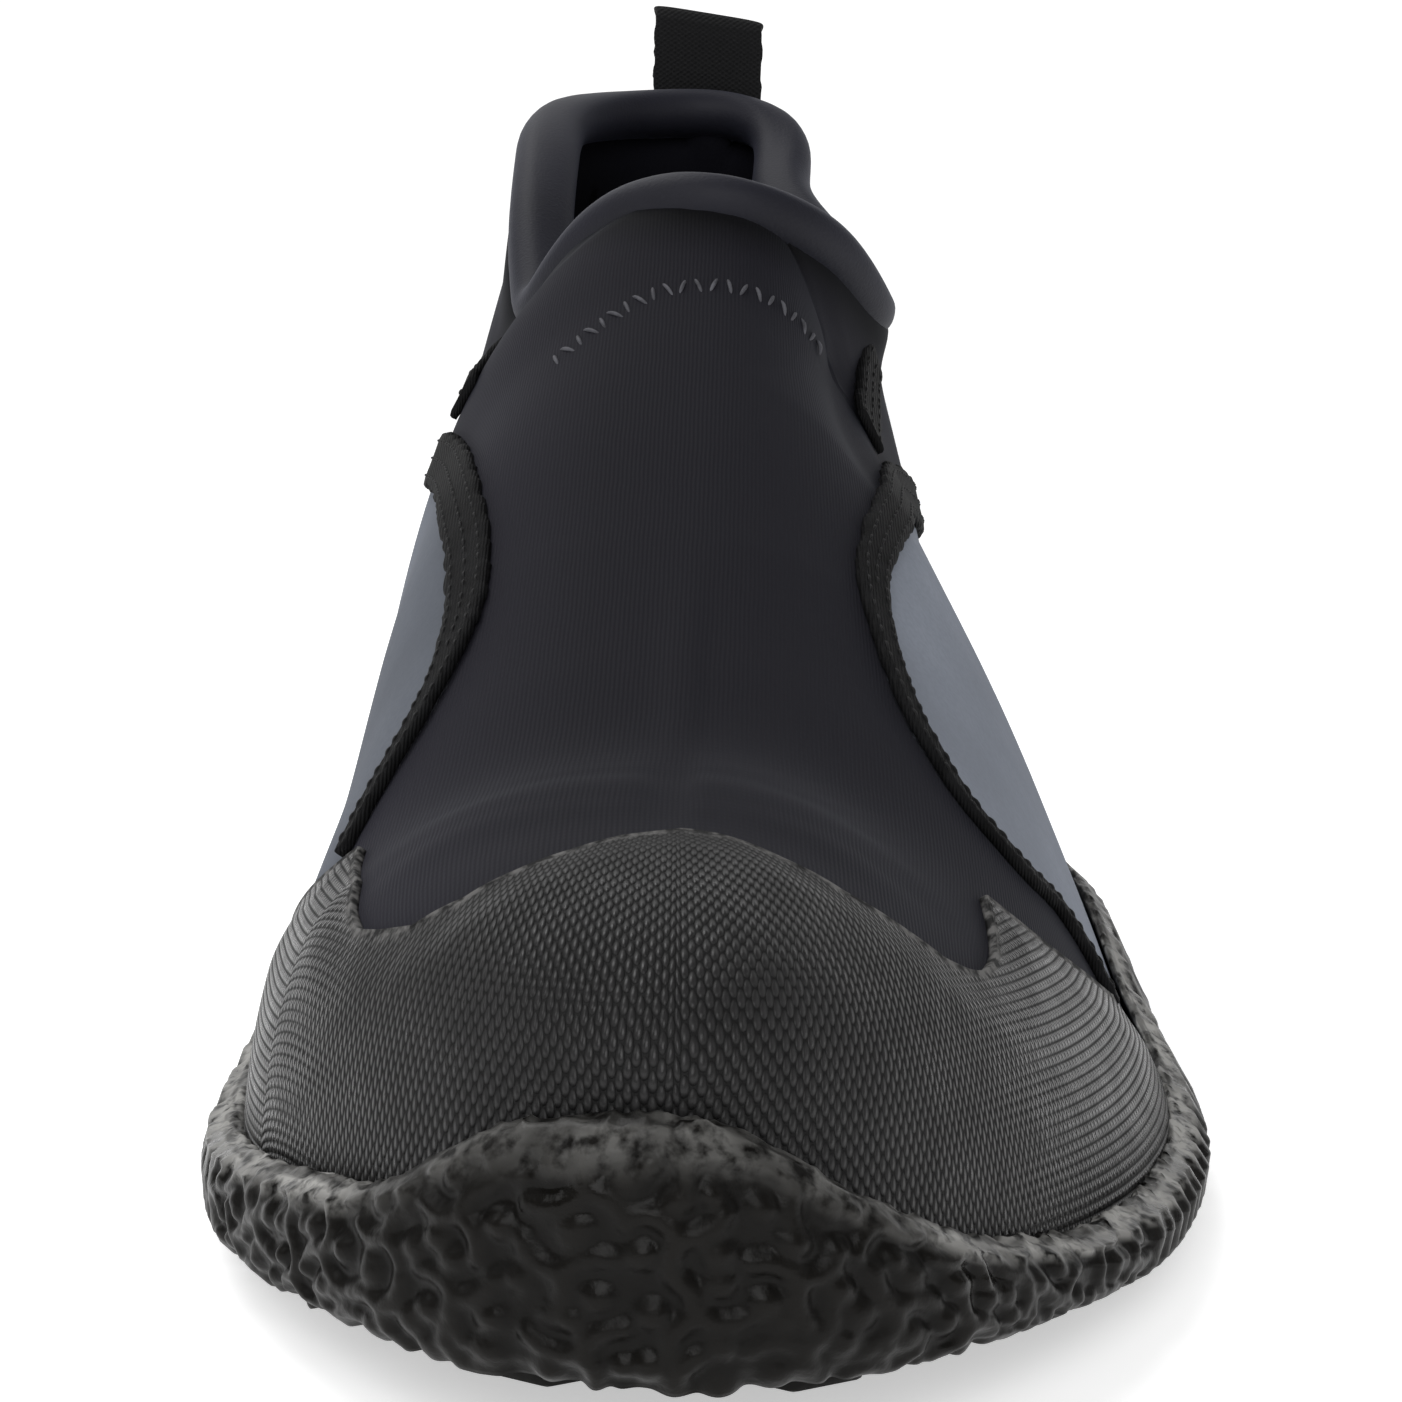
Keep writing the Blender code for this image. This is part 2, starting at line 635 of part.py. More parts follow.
def make_cuff():
    points, normals, outs = collar_frames()
    count = len(points)

    def place(row, column):
        out, up = CUFF_SECTION[row % len(CUFF_SECTION)]
        k = column % count
        return points[k] + out * normals[k] + up * outs[k]

    mesh = mapped_grid("collar_cuff", len(CUFF_SECTION) + 1, count + 1, place)
    add_part("collar_cuff", mesh, principled("navy_neoprene", (0.016, 0.016, 0.024), 0.8))


def on_upper(y, z, side):
    return skin(y, lift_at_height(y, z, side), side)


def tape_mesh(name, side, rows):
    """A strip along a path over the upper, as wide as the path's table says and flat across."""
    path = table(TAPE_COLUMNS, rows, (1.0, 1.0, 1.0))
    knots = np.concatenate(([0.0], np.cumsum(np.hypot(np.diff(path["along"]), np.diff(path["height"])))))
    count = int(knots[-1] / TAPE_STEP) + 2
    places = np.linspace(0.0, knots[-1], count)
    y, z, width = (smooth(places, knots, path[column]) for column in TAPE_COLUMNS)
    middle = on_upper(y, z, side).T
    normal = np.cross(on_upper(y + 0.5, z, side).T - middle, on_upper(y, z + 0.5, side).T - middle)
    across = np.cross(normal, np.gradient(middle, axis=0))
    across *= width[:, None] / np.linalg.norm(across, axis=1, keepdims=True)

    def place(row, column):
        return middle[row] + (column - 0.5) * across[row]

    return mapped_grid(name, count, 2, place)


def make_tapes():
    tape = principled("black_tape", (0.010, 0.010, 0.010), 0.8)
    for name, (side, rows) in TAPES.items():
        strip = add_part(name, tape_mesh(name, side, rows), tape.copy())
        lay_on(strip, TAPE_THICKNESS)


def heel_line(z):
    """The back of the upper at a height, seen from the side."""
    return UPPER_HEEL + smooth(z, HEEL_CURVE["height"], HEEL_CURVE["shift"])


def eased(t):
    t = np.clip(t, 0.0, 1.0)
    return t * t * (3 - 2 * t)


def make_pull_loop():
    """Webbing folded over, sewn to the back of the heel and open above the cuff; drawn from the side and extruded."""
    z = np.array(LOOP_HEIGHTS)
    near = heel_line(z) + GAP + LOOP_STANDOFF * eased((z - LOOP_BEND[0]) / LOOP_BEND[1])
    spare = LOOP_OPEN * eased((z - LOOP_PARTING) / LOOP_SPREAD)
    far = near + 2 * LOOP_WEBBING + spare
    radius = 0.5 * (far[-1] - near[-1])
    turn = np.linspace(math.pi, 0.0, 9)[1:-1]
    middle = near[-1] + radius
    outer = [*zip(near, z)]
    outer += [(middle + radius * math.cos(a), LOOP_TOP - radius + radius * math.sin(a)) for a in turn]
    outer += [*zip(far, z)][::-1]
    clear = radius - LOOP_WEBBING
    apart = spare > 0
    hole = [*zip(near[apart] + LOOP_WEBBING, z[apart])]
    hole += [(middle + clear * math.cos(a), LOOP_TOP - radius + clear * math.sin(a)) for a in turn]
    hole += [*zip(far[apart] - LOOP_WEBBING, z[apart])][::-1]
    curve = bpy.data.curves.new("pull_loop", "CURVE")
    curve.dimensions = "2D"
    curve.fill_mode = "BOTH"
    curve.extrude = 0.5 * LOOP_WIDTH * MM
    for outline in (outer, hole):
        spline = curve.splines.new("POLY")
        spline.points.add(len(outline) - 1)
        for point, (across, up) in zip(spline.points, outline):
            point.co = (across * MM, up * MM, 0.0, 1.0)
        spline.use_cyclic_u = True
    loop = add_part("pull_loop", curve, principled("black_webbing", (0.012, 0.012, 0.012), 0.9))
    loop.rotation_euler = (math.pi / 2, 0.0, math.pi / 2)
    loop.location.x = LOOP_X * MM


def footprint_middle():
    """The middle of the outsole seen from above."""
    plan = outsole_rings()[:, :, :2].reshape(-1, 2)
    return 0.5 * (plan.min(axis=0) + plan.max(axis=0))


STANDS_AT = (*-footprint_middle(), 0.0)


def main():
    make_upper()
    make_outsole()
    make_insole()
    make_toe_cap()
    make_cuff()
    make_tapes()
    make_pull_loop()
    for obj in (*PARTS.objects, *FORMS.objects):
        obj.location += Vector(STANDS_AT) * MM


for old in list(bpy.data.objects):
    bpy.data.objects.remove(old)
PARTS = bpy.data.collections.new("reef_boot")
FORMS = bpy.data.collections.new("joined_forms")
for collection in (PARTS, FORMS):
    bpy.context.scene.collection.children.link(collection)
main()
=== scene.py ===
"""Looks of a low neoprene reef boot for the left foot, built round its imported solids.

Shapes are worked out in millimetres in the boot's own axes: x runs to the outside of the foot, y from the
toe back to the heel, z up from the floor. on_stage() puts them in the frame of the solids, in metres.
"""

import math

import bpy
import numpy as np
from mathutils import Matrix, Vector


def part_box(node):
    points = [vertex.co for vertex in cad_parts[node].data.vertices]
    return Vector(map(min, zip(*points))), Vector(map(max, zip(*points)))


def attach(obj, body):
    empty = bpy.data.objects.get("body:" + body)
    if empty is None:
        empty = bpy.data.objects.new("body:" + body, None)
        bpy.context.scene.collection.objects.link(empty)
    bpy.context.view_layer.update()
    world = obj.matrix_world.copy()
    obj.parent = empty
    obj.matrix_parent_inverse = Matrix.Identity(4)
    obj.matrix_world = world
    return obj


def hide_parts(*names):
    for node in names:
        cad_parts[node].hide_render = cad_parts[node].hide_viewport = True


bl_info = {
    "name": "Reef Boot",
    "version": (1, 0, 0),
    "blender": (4, 5, 0),
    "location": "View3D > Sidebar > Reef Boot",
    "description": "Dresses the solids of a reef boot: neoprene, rubber, tapes, stitches and stage",
    "category": "Object",
}

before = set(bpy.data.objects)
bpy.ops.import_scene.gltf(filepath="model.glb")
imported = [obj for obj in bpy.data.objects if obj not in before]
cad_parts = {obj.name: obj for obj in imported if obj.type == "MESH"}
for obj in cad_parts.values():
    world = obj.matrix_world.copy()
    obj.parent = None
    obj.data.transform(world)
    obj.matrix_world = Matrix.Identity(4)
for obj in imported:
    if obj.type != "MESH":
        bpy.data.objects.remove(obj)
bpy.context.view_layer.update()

MM = 0.001
SLIVER = 0.002

# Sizes of the last, as in the solids
LENGTH = 272.0
BALL_WIDTH = 103.0
INSTEP_HEIGHT = 102.5
HEEL_HEIGHT = 119.5
NEOPRENE = 3.0
GAP = 0.3
MEDIAL, LATERAL = -1, 1
LATERAL_FULLNESS = 2.2
RISE_FULLNESS = 2.5
FLARE_HEIGHT = 0.74 * INSTEP_HEIGHT
FLARE_POWER = 1.15
TOE_ROUNDING = 0.276 * LENGTH
TOE_RISE = 0.125 * LENGTH
HEEL_ROUNDING = 0.16 * LENGTH
END_FULLNESS = 2.2
NOSE_HEIGHT = 0.3 * INSTEP_HEIGHT

# Sections of the last, toe to heel, as shares of the length, the ball width and the instep height
SECTION_COLUMNS = (
    "along",
    "axis",
    "medial",
    "lateral",
    "ridge",
    "feather",
    "medial_crown",
    "lateral_crown",
    "fullness",
)
SECTION_ROWS = (
    (0.018, -0.049, -0.388, 0.285, 0.425, 0.126, 1.00, 0.92, 2.8),
    (0.092, -0.049, -0.396, 0.322, 0.439, 0.108, 1.00, 0.80, 2.8),
    (0.165, -0.049, -0.427, 0.380, 0.454, 0.088, 1.00, 0.69, 2.6),
    (0.228, -0.044, -0.438, 0.418, 0.483, 0.074, 0.98, 0.64, 2.4),
    (0.294, -0.039, -0.444, 0.452, 0.557, 0.070, 0.94, 0.61, 2.4),
    (0.368, -0.034, -0.438, 0.472, 0.658, 0.072, 0.90, 0.58, 2.5),
    (0.441, -0.029, -0.428, 0.480, 0.774, 0.080, 0.92, 0.56, 2.6),
    (0.515, -0.024, -0.420, 0.472, 0.893, 0.084, 0.99, 0.54, 2.3),
    (0.581, -0.020, -0.413, 0.446, 1.000, 0.080, 1.03, 0.55, 2.2),
    (0.632, -0.020, -0.403, 0.416, 1.000, 0.074, 1.03, 0.63, 2.25),
    (0.673, -0.020, -0.393, 0.392, 1.000, 0.071, 1.02, 0.71, 2.6),
    (0.735, -0.015, -0.374, 0.366, 1.000, 0.068, 0.97, 0.77, 3.1),
    (0.790, -0.010, -0.360, 0.350, 1.000, 0.068, 0.96, 0.82, 3.0),
    (0.901, -0.003, -0.345, 0.335, 1.000, 0.068, 0.94, 0.90, 2.8),
    (0.982, 0.000, -0.335, 0.325, 1.000, 0.068, 0.92, 0.92, 2.6),
)
SECTION_UNITS = (LENGTH, *3 * (BALL_WIDTH,), *2 * (INSTEP_HEIGHT,), *3 * (1.0,))

# Edge of the collar from the throat back, as in the solids
COLLAR_COLUMNS = ("along", "medial_height", "lateral_height", "medial_cut", "lateral_cut")
COLLAR_ROWS = (
    (0.581, 0.00, 0.00, 1.000, 1.000),
    (0.592, -0.05, -0.04, 0.994, 0.970),
    (0.607, -0.16, -0.14, 0.976, 0.915),
    (0.632, -0.52, -0.42, 0.935, 0.820),
    (0.665, -0.85, -0.76, 0.905, 0.715),
    (0.699, -0.58, -0.76, 0.895, 0.700),
    (0.735, -0.20, -0.68, 0.885, 0.740),
    (0.790, 0.28, -0.46, 0.855, 0.790),
    (0.882, 0.76, 0.22, 0.815, 0.925),
    (0.982, 1.00, 1.00, 0.800, 0.800),
)
THROAT = COLLAR_ROWS[0][0] * LENGTH

# Shift of the heel along the foot for each height
HEEL_CURVE_COLUMNS = ("height", "shift")
HEEL_CURVE_ROWS = ((7.0, -3.5), (25.0, 0.0), (50.0, -2.0), (85.0, -7.5), (120.0, -12.5))
HEEL_CURVE_START = 0.58 * LENGTH

# Edge of the toe cap seen from above, from the medial end round the front to the lateral end
CAP_EDGE_COLUMNS = ("x", "y")
CAP_EDGE_ROWS = (
    (-45.0, 88.0),
    (-42.5, 79.0),
    (-39.5, 70.0),
    (-37.0, 65.5),
    (-34.4, 62.5),
    (-33.6, 52.0),
    (-33.3, 45.0),
    (-32.1, 39.5),
    (-29.8, 35.2),
    (-26.6, 30.6),
    (-22.3, 28.3),
    (-18.2, 28.7),
    (-14.1, 30.3),
    (-9.9, 33.0),
    (-4.7, 35.2),
    (-1.4, 34.6),
    (3.7, 33.0),
    (8.9, 33.4),
    (14.5, 36.6),
    (18.3, 39.4),
    (20.9, 42.9),
    (22.7, 46.4),
    (24.5, 53.0),
    (24.6, 63.5),
    (30.1, 67.9),
    (36.5, 76.1),
    (41.5, 87.6),
    (47.0, 91.0),
)

# Top of the outsole's wall, in millimetres above the floor, and the wall's thickness on each side
RIM_COLUMNS = ("along", "medial", "lateral", "medial_wall", "lateral_wall")
RIM_ROWS = (
    (0.025, 29.5, 29.5, 3.6, 3.6),
    (0.036, 28.0, 24.5, 3.6, 3.6),
    (0.059, 21.5, 18.5, 3.6, 3.6),
    (0.103, 17.5, 13.3, 3.4, 3.4),
    (0.165, 14.0, 10.6, 3.0, 2.8),
    (0.228, 11.5, 9.7, 2.8, 2.2),
    (0.290, 10.6, 9.8, 2.6, 2.0),
    (0.340, 12.0, 12.0, 2.6, 2.0),
    (0.397, 16.5, 17.5, 2.8, 2.4),
    (0.460, 21.0, 23.0, 3.0, 2.8),
    (0.551, 23.0, 24.0, 3.0, 3.0),
    (0.680, 22.0, 22.0, 3.2, 3.2),
    (0.827, 24.0, 24.0, 3.4, 3.4),
    (0.938, 30.0, 30.0, 3.6, 3.6),
    (0.982, 33.0, 33.0, 3.6, 3.6),
)

# Toe spring, waist and heel of the underside, in millimetres above the flat of the tread
TREAD_COLUMNS = ("along", "rise")
TREAD_ROWS = (
    (0.020, 6.2),
    (0.060, 5.6),
    (0.110, 4.0),
    (0.165, 2.2),
    (0.215, 0.9),
    (0.260, 0.2),
    (0.300, 0.0),
    (0.430, 0.0),
    (0.500, 1.0),
    (0.580, 1.4),
    (0.660, 0.8),
    (0.720, 0.0),
    (0.940, 0.0),
    (0.982, 0.8),
)
WALL_THICKNESS = RIM_ROWS[0][3]
RIB_HEIGHT = 0.8
CAP_THICKNESS = 1.4
CAP_TUCK = 6.0
CAP_SEAT_END = 0.40 * LENGTH
CAP_SEAT_FADE = 0.06 * LENGTH
TREAD_DEPTH = 2.5
FLOOR_DROP = 1.6
LUG_RADIUS = 6.8
LUG_PITCH = 19.5
LUG_ROW_PITCH = 0.87 * LUG_PITCH
LUG_MARGIN = 9.5
LUG_ROOT = 1.2
INSOLE_LIFT = 2.5 * GAP
INSOLE_THICKNESS = 3.0
INSOLE_INSET = NEOPRENE + GAP + 0.6
UPPER_TOE = 3 * GAP + CAP_THICKNESS + WALL_THICKNESS + RIB_HEIGHT
UPPER_HEEL = LENGTH - GAP - WALL_THICKNESS - RIB_HEIGHT

# Front of the rolled cuff: how far back from the throat it reaches, how much it is flattened, and how far it
# stands out and comes down
ROLL_REACH = 30.0
ROLL_FLATTENING = 0.12
ROLL_STANDOUT = 2.3
ROLL_DROP = 3.2

# Section of the rolled cuff: out of the wall's outer face, and up past the upper's edge
CUFF_SECTION = (
    (1.0, -1.3),
    (3.0, 0.0),
    (3.8, 2.6),
    (2.4, 5.2),
    (-1.2, 6.2),
    (-3.6, 5.8),
    (-5.0, 4.2),
    (-5.1, 2.2),
    (-3.9, 0.2),
    (-1.5, -1.2),
)

# Seam tapes, each a path over one side of the upper: along, height and width in millimetres
TAPE_COLUMNS = ("along", "height", "width")
TAPES = {
    "tape_lower_medial": (
        MEDIAL,
        (
            (68.0, 37.2, 2.0),
            (72.5, 41.0, 2.2),
            (78.4, 46.0, 2.4),
            (86.0, 51.3, 3.0),
            (93.5, 55.8, 4.6),
            (103.3, 60.8, 6.0),
            (111.3, 64.5, 6.4),
            (121.0, 67.8, 6.6),
            (144.0, 71.0, 7.0),
            (168.0, 70.0, 7.0),
            (200.0, 63.0, 7.0),
            (235.0, 58.0, 7.0),
            (262.0, 56.0, 7.0),
            (267.29, 56.0, 7.0),
        ),
    ),
    "tape_lower_lateral": (
        LATERAL,
        (
            (86.8, 19.5, 2.0),
            (86.6, 25.0, 2.0),
            (84.6, 30.0, 2.0),
            (79.5, 35.5, 2.0),
            (78.6, 40.5, 2.0),
            (83.5, 47.3, 2.4),
            (91.5, 53.2, 2.8),
            (100.0, 58.4, 3.6),
            (107.0, 62.2, 4.4),
            (118.0, 66.0, 5.4),
            (135.0, 69.0, 6.4),
            (160.0, 68.6, 7.0),
            (200.0, 62.5, 7.0),
            (235.0, 58.0, 7.0),
            (262.0, 56.0, 7.0),
            (267.29, 56.0, 7.0),
        ),
    ),
    "tape_upper_medial": (
        MEDIAL,
        ((176.0, 86.5, 6.5), (170.0, 84.5, 6.5), (163.0, 81.5, 6.5), (156.5, 78.5, 6.5)),
    ),
    "tape_upper_lateral": (
        LATERAL,
        ((178.0, 85.0, 6.5), (171.5, 82.0, 6.5), (164.0, 78.6, 6.5), (156.5, 76.0, 6.5)),
    ),
}
TAPE_THICKNESS = 0.9

# Row of slanted stitches over the vamp below the collar, seen from above
COLLAR_SEAM_COLUMNS = ("x", "y")
COLLAR_SEAM_ROWS = (
    (-20.5, 136.2),
    (-15.0, 139.0),
    (-10.5, 141.5),
    (-7.0, 142.8),
    (-2.8, 143.4),
    (3.4, 144.4),
    (9.6, 147.5),
    (12.4, 149.8),
)

# Creases of the upper, each a soft ridge or trough: its side, then along, height, rise and breadth
CREASE_COLUMNS = ("along", "height", "rise", "breadth")
CREASES = {
    "lateral fold below the collar": (
        LATERAL,
        (
            (166.0, 86.0, 0.2, 4.0),
            (154.0, 82.0, 1.3, 4.5),
            (140.0, 76.0, 1.5, 5.0),
            (126.0, 70.5, 0.2, 5.0),
        ),
    ),
    "lateral toe crease": (
        LATERAL,
        ((52.0, 42.0, 0.2, 4.0), (64.0, 46.5, 0.9, 5.0), (80.0, 54.0, 0.8, 6.0), (100.0, 63.5, 0.0, 6.0)),
    ),
    "medial toe crease": (
        MEDIAL,
        ((50.0, 43.0, 0.2, 4.0), (62.0, 46.5, 0.8, 5.0), (78.0, 53.0, 0.7, 6.0), (100.0, 63.0, 0.0, 6.0)),
    ),
    "trough behind the cap, lateral": (
        LATERAL,
        ((46.0, 44.8, -0.8, 5.0), (50.0, 46.2, -1.1, 7.0), (54.0, 47.8, -0.8, 8.0)),
    ),
    "trough behind the cap, medial": (
        MEDIAL,
        ((46.0, 44.8, -0.8, 5.0), (50.0, 46.2, -1.1, 7.0), (54.0, 47.8, -0.8, 8.0)),
    ),
}

# Webbing loop behind the heel
LOOP_X = -0.8
LOOP_WIDTH = 18.0
LOOP_WEBBING = 1.6
LOOP_TOP = 139.5
LOOP_OPEN = 5.5
LOOP_STANDOFF = 3.6
LOOP_FOOT = 92.0
LOOP_PARTING = 112.0
LOOP_SPREAD = 10.0
LOOP_BEND = 104.0
LOOP_BEND_LENGTH = 12.0
LOOP_SHOULDER = 126.0
LOOP_SEAMS = (95.5, 108.5)

# Camera of the photograph, in the boot's own axes
PHOTO_SIDE = 1402.0
CAMERA_AT = (-7.904, -206.761, 89.865)
CAMERA_PITCH = 0.133
CAMERA_YAW = 0.019
CAMERA_ROLL = 0.028
FOCAL_PIXELS = 2865.163
SENSOR = 36.0

# Where the boot's own axes lie in the frame of the solids
STANDS_AT = np.array(
    (
        0.5 * (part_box("pull_loop")[0].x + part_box("pull_loop")[1].x) / MM - LOOP_X,
        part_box("upper")[0].y / MM - UPPER_TOE,
        0.0,
    )
)


def table(columns, rows, units=None):
    """The rows of a table as one array for each named column."""
    units = units or len(columns) * (1.0,)
    return {name: np.array(values) * unit for name, values, unit in zip(columns, zip(*rows), units)}


SECTIONS = table(SECTION_COLUMNS, SECTION_ROWS, SECTION_UNITS)
COLLAR = table(COLLAR_COLUMNS, COLLAR_ROWS, (LENGTH, 1.0, 1.0, 1.0, 1.0))
HEEL_CURVE = table(HEEL_CURVE_COLUMNS, HEEL_CURVE_ROWS)
RIM = table(RIM_COLUMNS, RIM_ROWS, (LENGTH, *4 * (1.0,)))
TREAD = table(TREAD_COLUMNS, TREAD_ROWS, (LENGTH, 1.0))
CAP_EDGE = table(CAP_EDGE_COLUMNS, CAP_EDGE_ROWS)


def smooth(x, knots, values):
    """A smooth curve through a table's points, flat beyond its ends."""
    slopes = np.gradient(values, knots)
    x = np.clip(x, knots[0], knots[-1])
    i = np.clip(np.searchsorted(knots, x) - 1, 0, len(knots) - 2)
    span = knots[i + 1] - knots[i]
    t = (x - knots[i]) / span
    start = (2 * t**3 - 3 * t**2 + 1) * values[i] + (t**3 - 2 * t**2 + t) * span * slopes[i]
    end = (3 * t**2 - 2 * t**3) * values[i + 1] + (t**3 - t**2) * span * slopes[i + 1]
    return start + end


def eased(t):
    t = np.clip(t, 0.0, 1.0)
    return t * t * (3 - 2 * t)


def by_side(side, medial, lateral):
    return np.where(np.asarray(side) < 0, medial, lateral)


def either(columns, y, side, ending=""):
    """A table's medial or lateral column, for each place on its own side of the foot."""
    pair = (smooth(y, columns["along"], columns[name + ending]) for name in ("medial", "lateral"))
    return by_side(side, *pair)


def closing(distance, length):
    """0 at an end of the foot, rounding up to 1 over a length."""
    t = np.clip(distance / length, 0.0, 1.0)
    return (1.0 - (1.0 - t) ** END_FULLNESS) ** (1.0 / END_FULLNESS)


def section(column, y):
    return smooth(y, SECTIONS["along"], SECTIONS[column])


def feather(y):
    """Height of the line where the upper meets the sole."""
    return section("feather", y)


def collar(y, side):
    """Height of the collar's edge, and how far up its section it lies."""
    share, cut = (either(COLLAR, y, side, ending) for ending in ("_height", "_cut"))
    return INSTEP_HEIGHT + share * (HEEL_HEIGHT - INSTEP_HEIGHT), cut


def ridge(y, side):
    """Height of the top of the section, with the toe box rounded down to its blunt nose."""
    edge, cut = collar(y, side)
    closed = NOSE_HEIGHT + (section("ridge", y) - NOSE_HEIGHT) * closing(y - UPPER_TOE, TOE_RISE)
    return np.where(y > THROAT, feather(y) + (edge - feather(y)) / cut, closed)


def half_width(y, side):
    """Signed half width at the feather line, closed round the toe and the heel."""
    ends = closing(y - UPPER_TOE, TOE_ROUNDING) * closing(UPPER_HEEL - y, HEEL_ROUNDING)
    return (either(SECTIONS, y, side) - section("axis", y)) * ends


def lift_at_height(y, z, side):
    """How far up the arch, from 0 at the feather to 1 at the ridge, a height lies."""
    rise = np.clip((z - feather(y)) / (ridge(y, side) - feather(y)), 0.0, 1.0)
    return np.arcsin(rise ** (RISE_FULLNESS / 2)) / (math.pi / 2)


def skin(y, lift, side):
    """Points on the outer face of the upper, one for each row of the result."""
    y, lift, side = np.broadcast_arrays(np.asarray(y, float), np.asarray(lift, float), np.asarray(side))
    fullness = by_side(side, section("fullness", y), LATERAL_FULLNESS)
    rise = np.sin(lift * math.pi / 2) ** (2 / RISE_FULLNESS)
    reach = np.clip(1.0 - rise**fullness, 0.0, 1.0) ** (1 / fullness)
    height = ridge(y, side) - feather(y)
    half = half_width(y, side)
    crown = half * either(SECTIONS, y, side, "_crown")
    flare = np.clip(1.0 - height * rise / np.minimum(height, FLARE_HEIGHT), 0.0, 1.0) ** FLARE_POWER
    x = section("axis", y) + crown * reach + (half - crown) * flare
    z = feather(y) + height * rise
    rear = np.clip((y - HEEL_CURVE_START) / (UPPER_HEEL - HEEL_CURVE_START), 0.0, 1.0)
    shifted = y + rear * smooth(z, HEEL_CURVE["height"], HEEL_CURVE["shift"])
    return np.stack((x, shifted, z), axis=-1)


def on_upper(y, z, side):
    return skin(y, lift_at_height(y, z, side), side)


def collar_lift(y, side):
    """How far up the arch the collar cuts the section; 1 where the section is closed."""
    return np.where(y > THROAT, lift_at_height(y, collar(y, side)[0], side), 1.0)


def rim_height(along, sides):
    return either(RIM, along, sides)


def wall_thickness(along, sides):
    return either(RIM, along, sides, "_wall")


def tread_height(along):
    return TREAD_DEPTH + np.maximum(smooth(along, TREAD["along"], TREAD["rise"]), 0.0)


def front_share(y):
    """1 at the throat and ahead of it, easing to 0 where the front of the roll ends."""
    return eased((THROAT + ROLL_REACH - y) / ROLL_REACH)


def heel_line(z):
    return UPPER_HEEL + smooth(z, HEEL_CURVE["height"], HEEL_CURVE["shift"])


def unit(vectors):
    return vectors / np.maximum(np.linalg.norm(vectors, axis=-1, keepdims=True), 1e-12)


def travelled(points):
    """Distance along a row of points from the first one."""
    steps = np.linalg.norm(np.diff(points, axis=0), axis=1)
    return np.concatenate(([0.0], np.cumsum(steps)))


def along_path(at, run, path):
    """Points of a path at some distances along it."""
    return np.stack([np.interp(at, run, values) for values in path.T], axis=1)


def noise(x, y, seed):
    """Smooth noise from -1 to 1, with bumps about one unit apart."""
    xi, yi = np.floor(x), np.floor(y)
    u, v = eased(x - xi), eased(y - yi)

    def corner(dx, dy):
        mixed = np.sin((xi + dx) * 127.1 + (yi + dy) * 311.7 + seed * 74.7) * 43758.5453
        return 2.0 * (mixed - np.floor(mixed)) - 1.0

    low = corner(0, 0) * (1 - u) + corner(1, 0) * u
    high = corner(0, 1) * (1 - u) + corner(1, 1) * u
    return low * (1 - v) + high * v


def on_stage(points):
    """Points of the boot's own axes, in millimetres, in the frame of the solids, in metres."""
    return (np.asarray(points, float) + STANDS_AT) * MM


def deselect_all():
    if bpy.context.object and bpy.context.object.mode != "OBJECT":
        bpy.ops.object.mode_set(mode="OBJECT")
    bpy.ops.object.select_all(action="DESELECT")


def clean_mesh(obj, merge):
    """Merges points that meet, and turns the faces outward."""
    bpy.ops.object.mode_set(mode="EDIT")
    bpy.ops.mesh.select_all(action="SELECT")
    bpy.ops.mesh.remove_doubles(threshold=merge * MM)
    bpy.ops.mesh.dissolve_degenerate(threshold=SLIVER * MM)
    bpy.ops.mesh.select_all(action="SELECT")
    bpy.ops.mesh.normals_make_consistent(inside=False)
    bpy.ops.object.mode_set(mode="OBJECT")
    bpy.ops.object.shade_smooth()
    return obj


def shaped_grid(name, points, facts=None, dropped=None, merge=0.02, fill=False):
    """A grid primitive laid on rows and columns of points, then merged and faced outward.

    facts are values for each point, kept as attributes; dropped marks the cells that are cut out; fill
    closes the open loops that are left.
    """
    rows, columns = points.shape[:2]
    deselect_all()
    bpy.ops.mesh.primitive_grid_add(x_subdivisions=columns - 1, y_subdivisions=rows - 1, size=1.0)
    obj = bpy.context.object
    obj.name = obj.data.name = name
    obj.data.vertices.foreach_set("co", on_stage(points).astype(np.float32).ravel())
    for fact, values in (facts or {}).items():
        kind, field = ("FLOAT_VECTOR", "vector") if values.ndim == 3 else ("FLOAT", "value")
        attribute = obj.data.attributes.new(fact, kind, "POINT")
        attribute.data.foreach_set(field, values.astype(np.float32).ravel())
    for layer in list(obj.data.uv_layers):
        obj.data.uv_layers.remove(layer)
    if dropped is not None:
        bpy.ops.object.mode_set(mode="EDIT")
        bpy.ops.mesh.select_mode(type="FACE")
        bpy.ops.object.mode_set(mode="OBJECT")
        obj.data.polygons.foreach_set("select", dropped.ravel())
        bpy.ops.object.mode_set(mode="EDIT")
        bpy.ops.mesh.delete(type="FACE")
        bpy.ops.object.mode_set(mode="OBJECT")
    obj.data.update()
    if fill:
        bpy.ops.object.mode_set(mode="EDIT")
        bpy.ops.mesh.select_all(action="SELECT")
        bpy.ops.mesh.remove_doubles(threshold=merge * MM)
        bpy.ops.mesh.select_mode(type="EDGE")
        bpy.ops.mesh.select_all(action="DESELECT")
        bpy.ops.mesh.select_non_manifold(
            extend=False, use_wire=False, use_multi_face=False, use_verts=False
        )
        bpy.ops.mesh.edge_face_add()
        bpy.ops.mesh.select_mode(type="VERT")
        bpy.ops.object.mode_set(mode="OBJECT")
    return clean_mesh(obj, merge)


def apply_modifier(obj, kind, **settings):
    modifier = obj.modifiers.new(kind.lower(), kind)
    for name, value in settings.items():
        setattr(modifier, name, value)
    bpy.ops.object.modifier_apply(modifier=modifier.name)


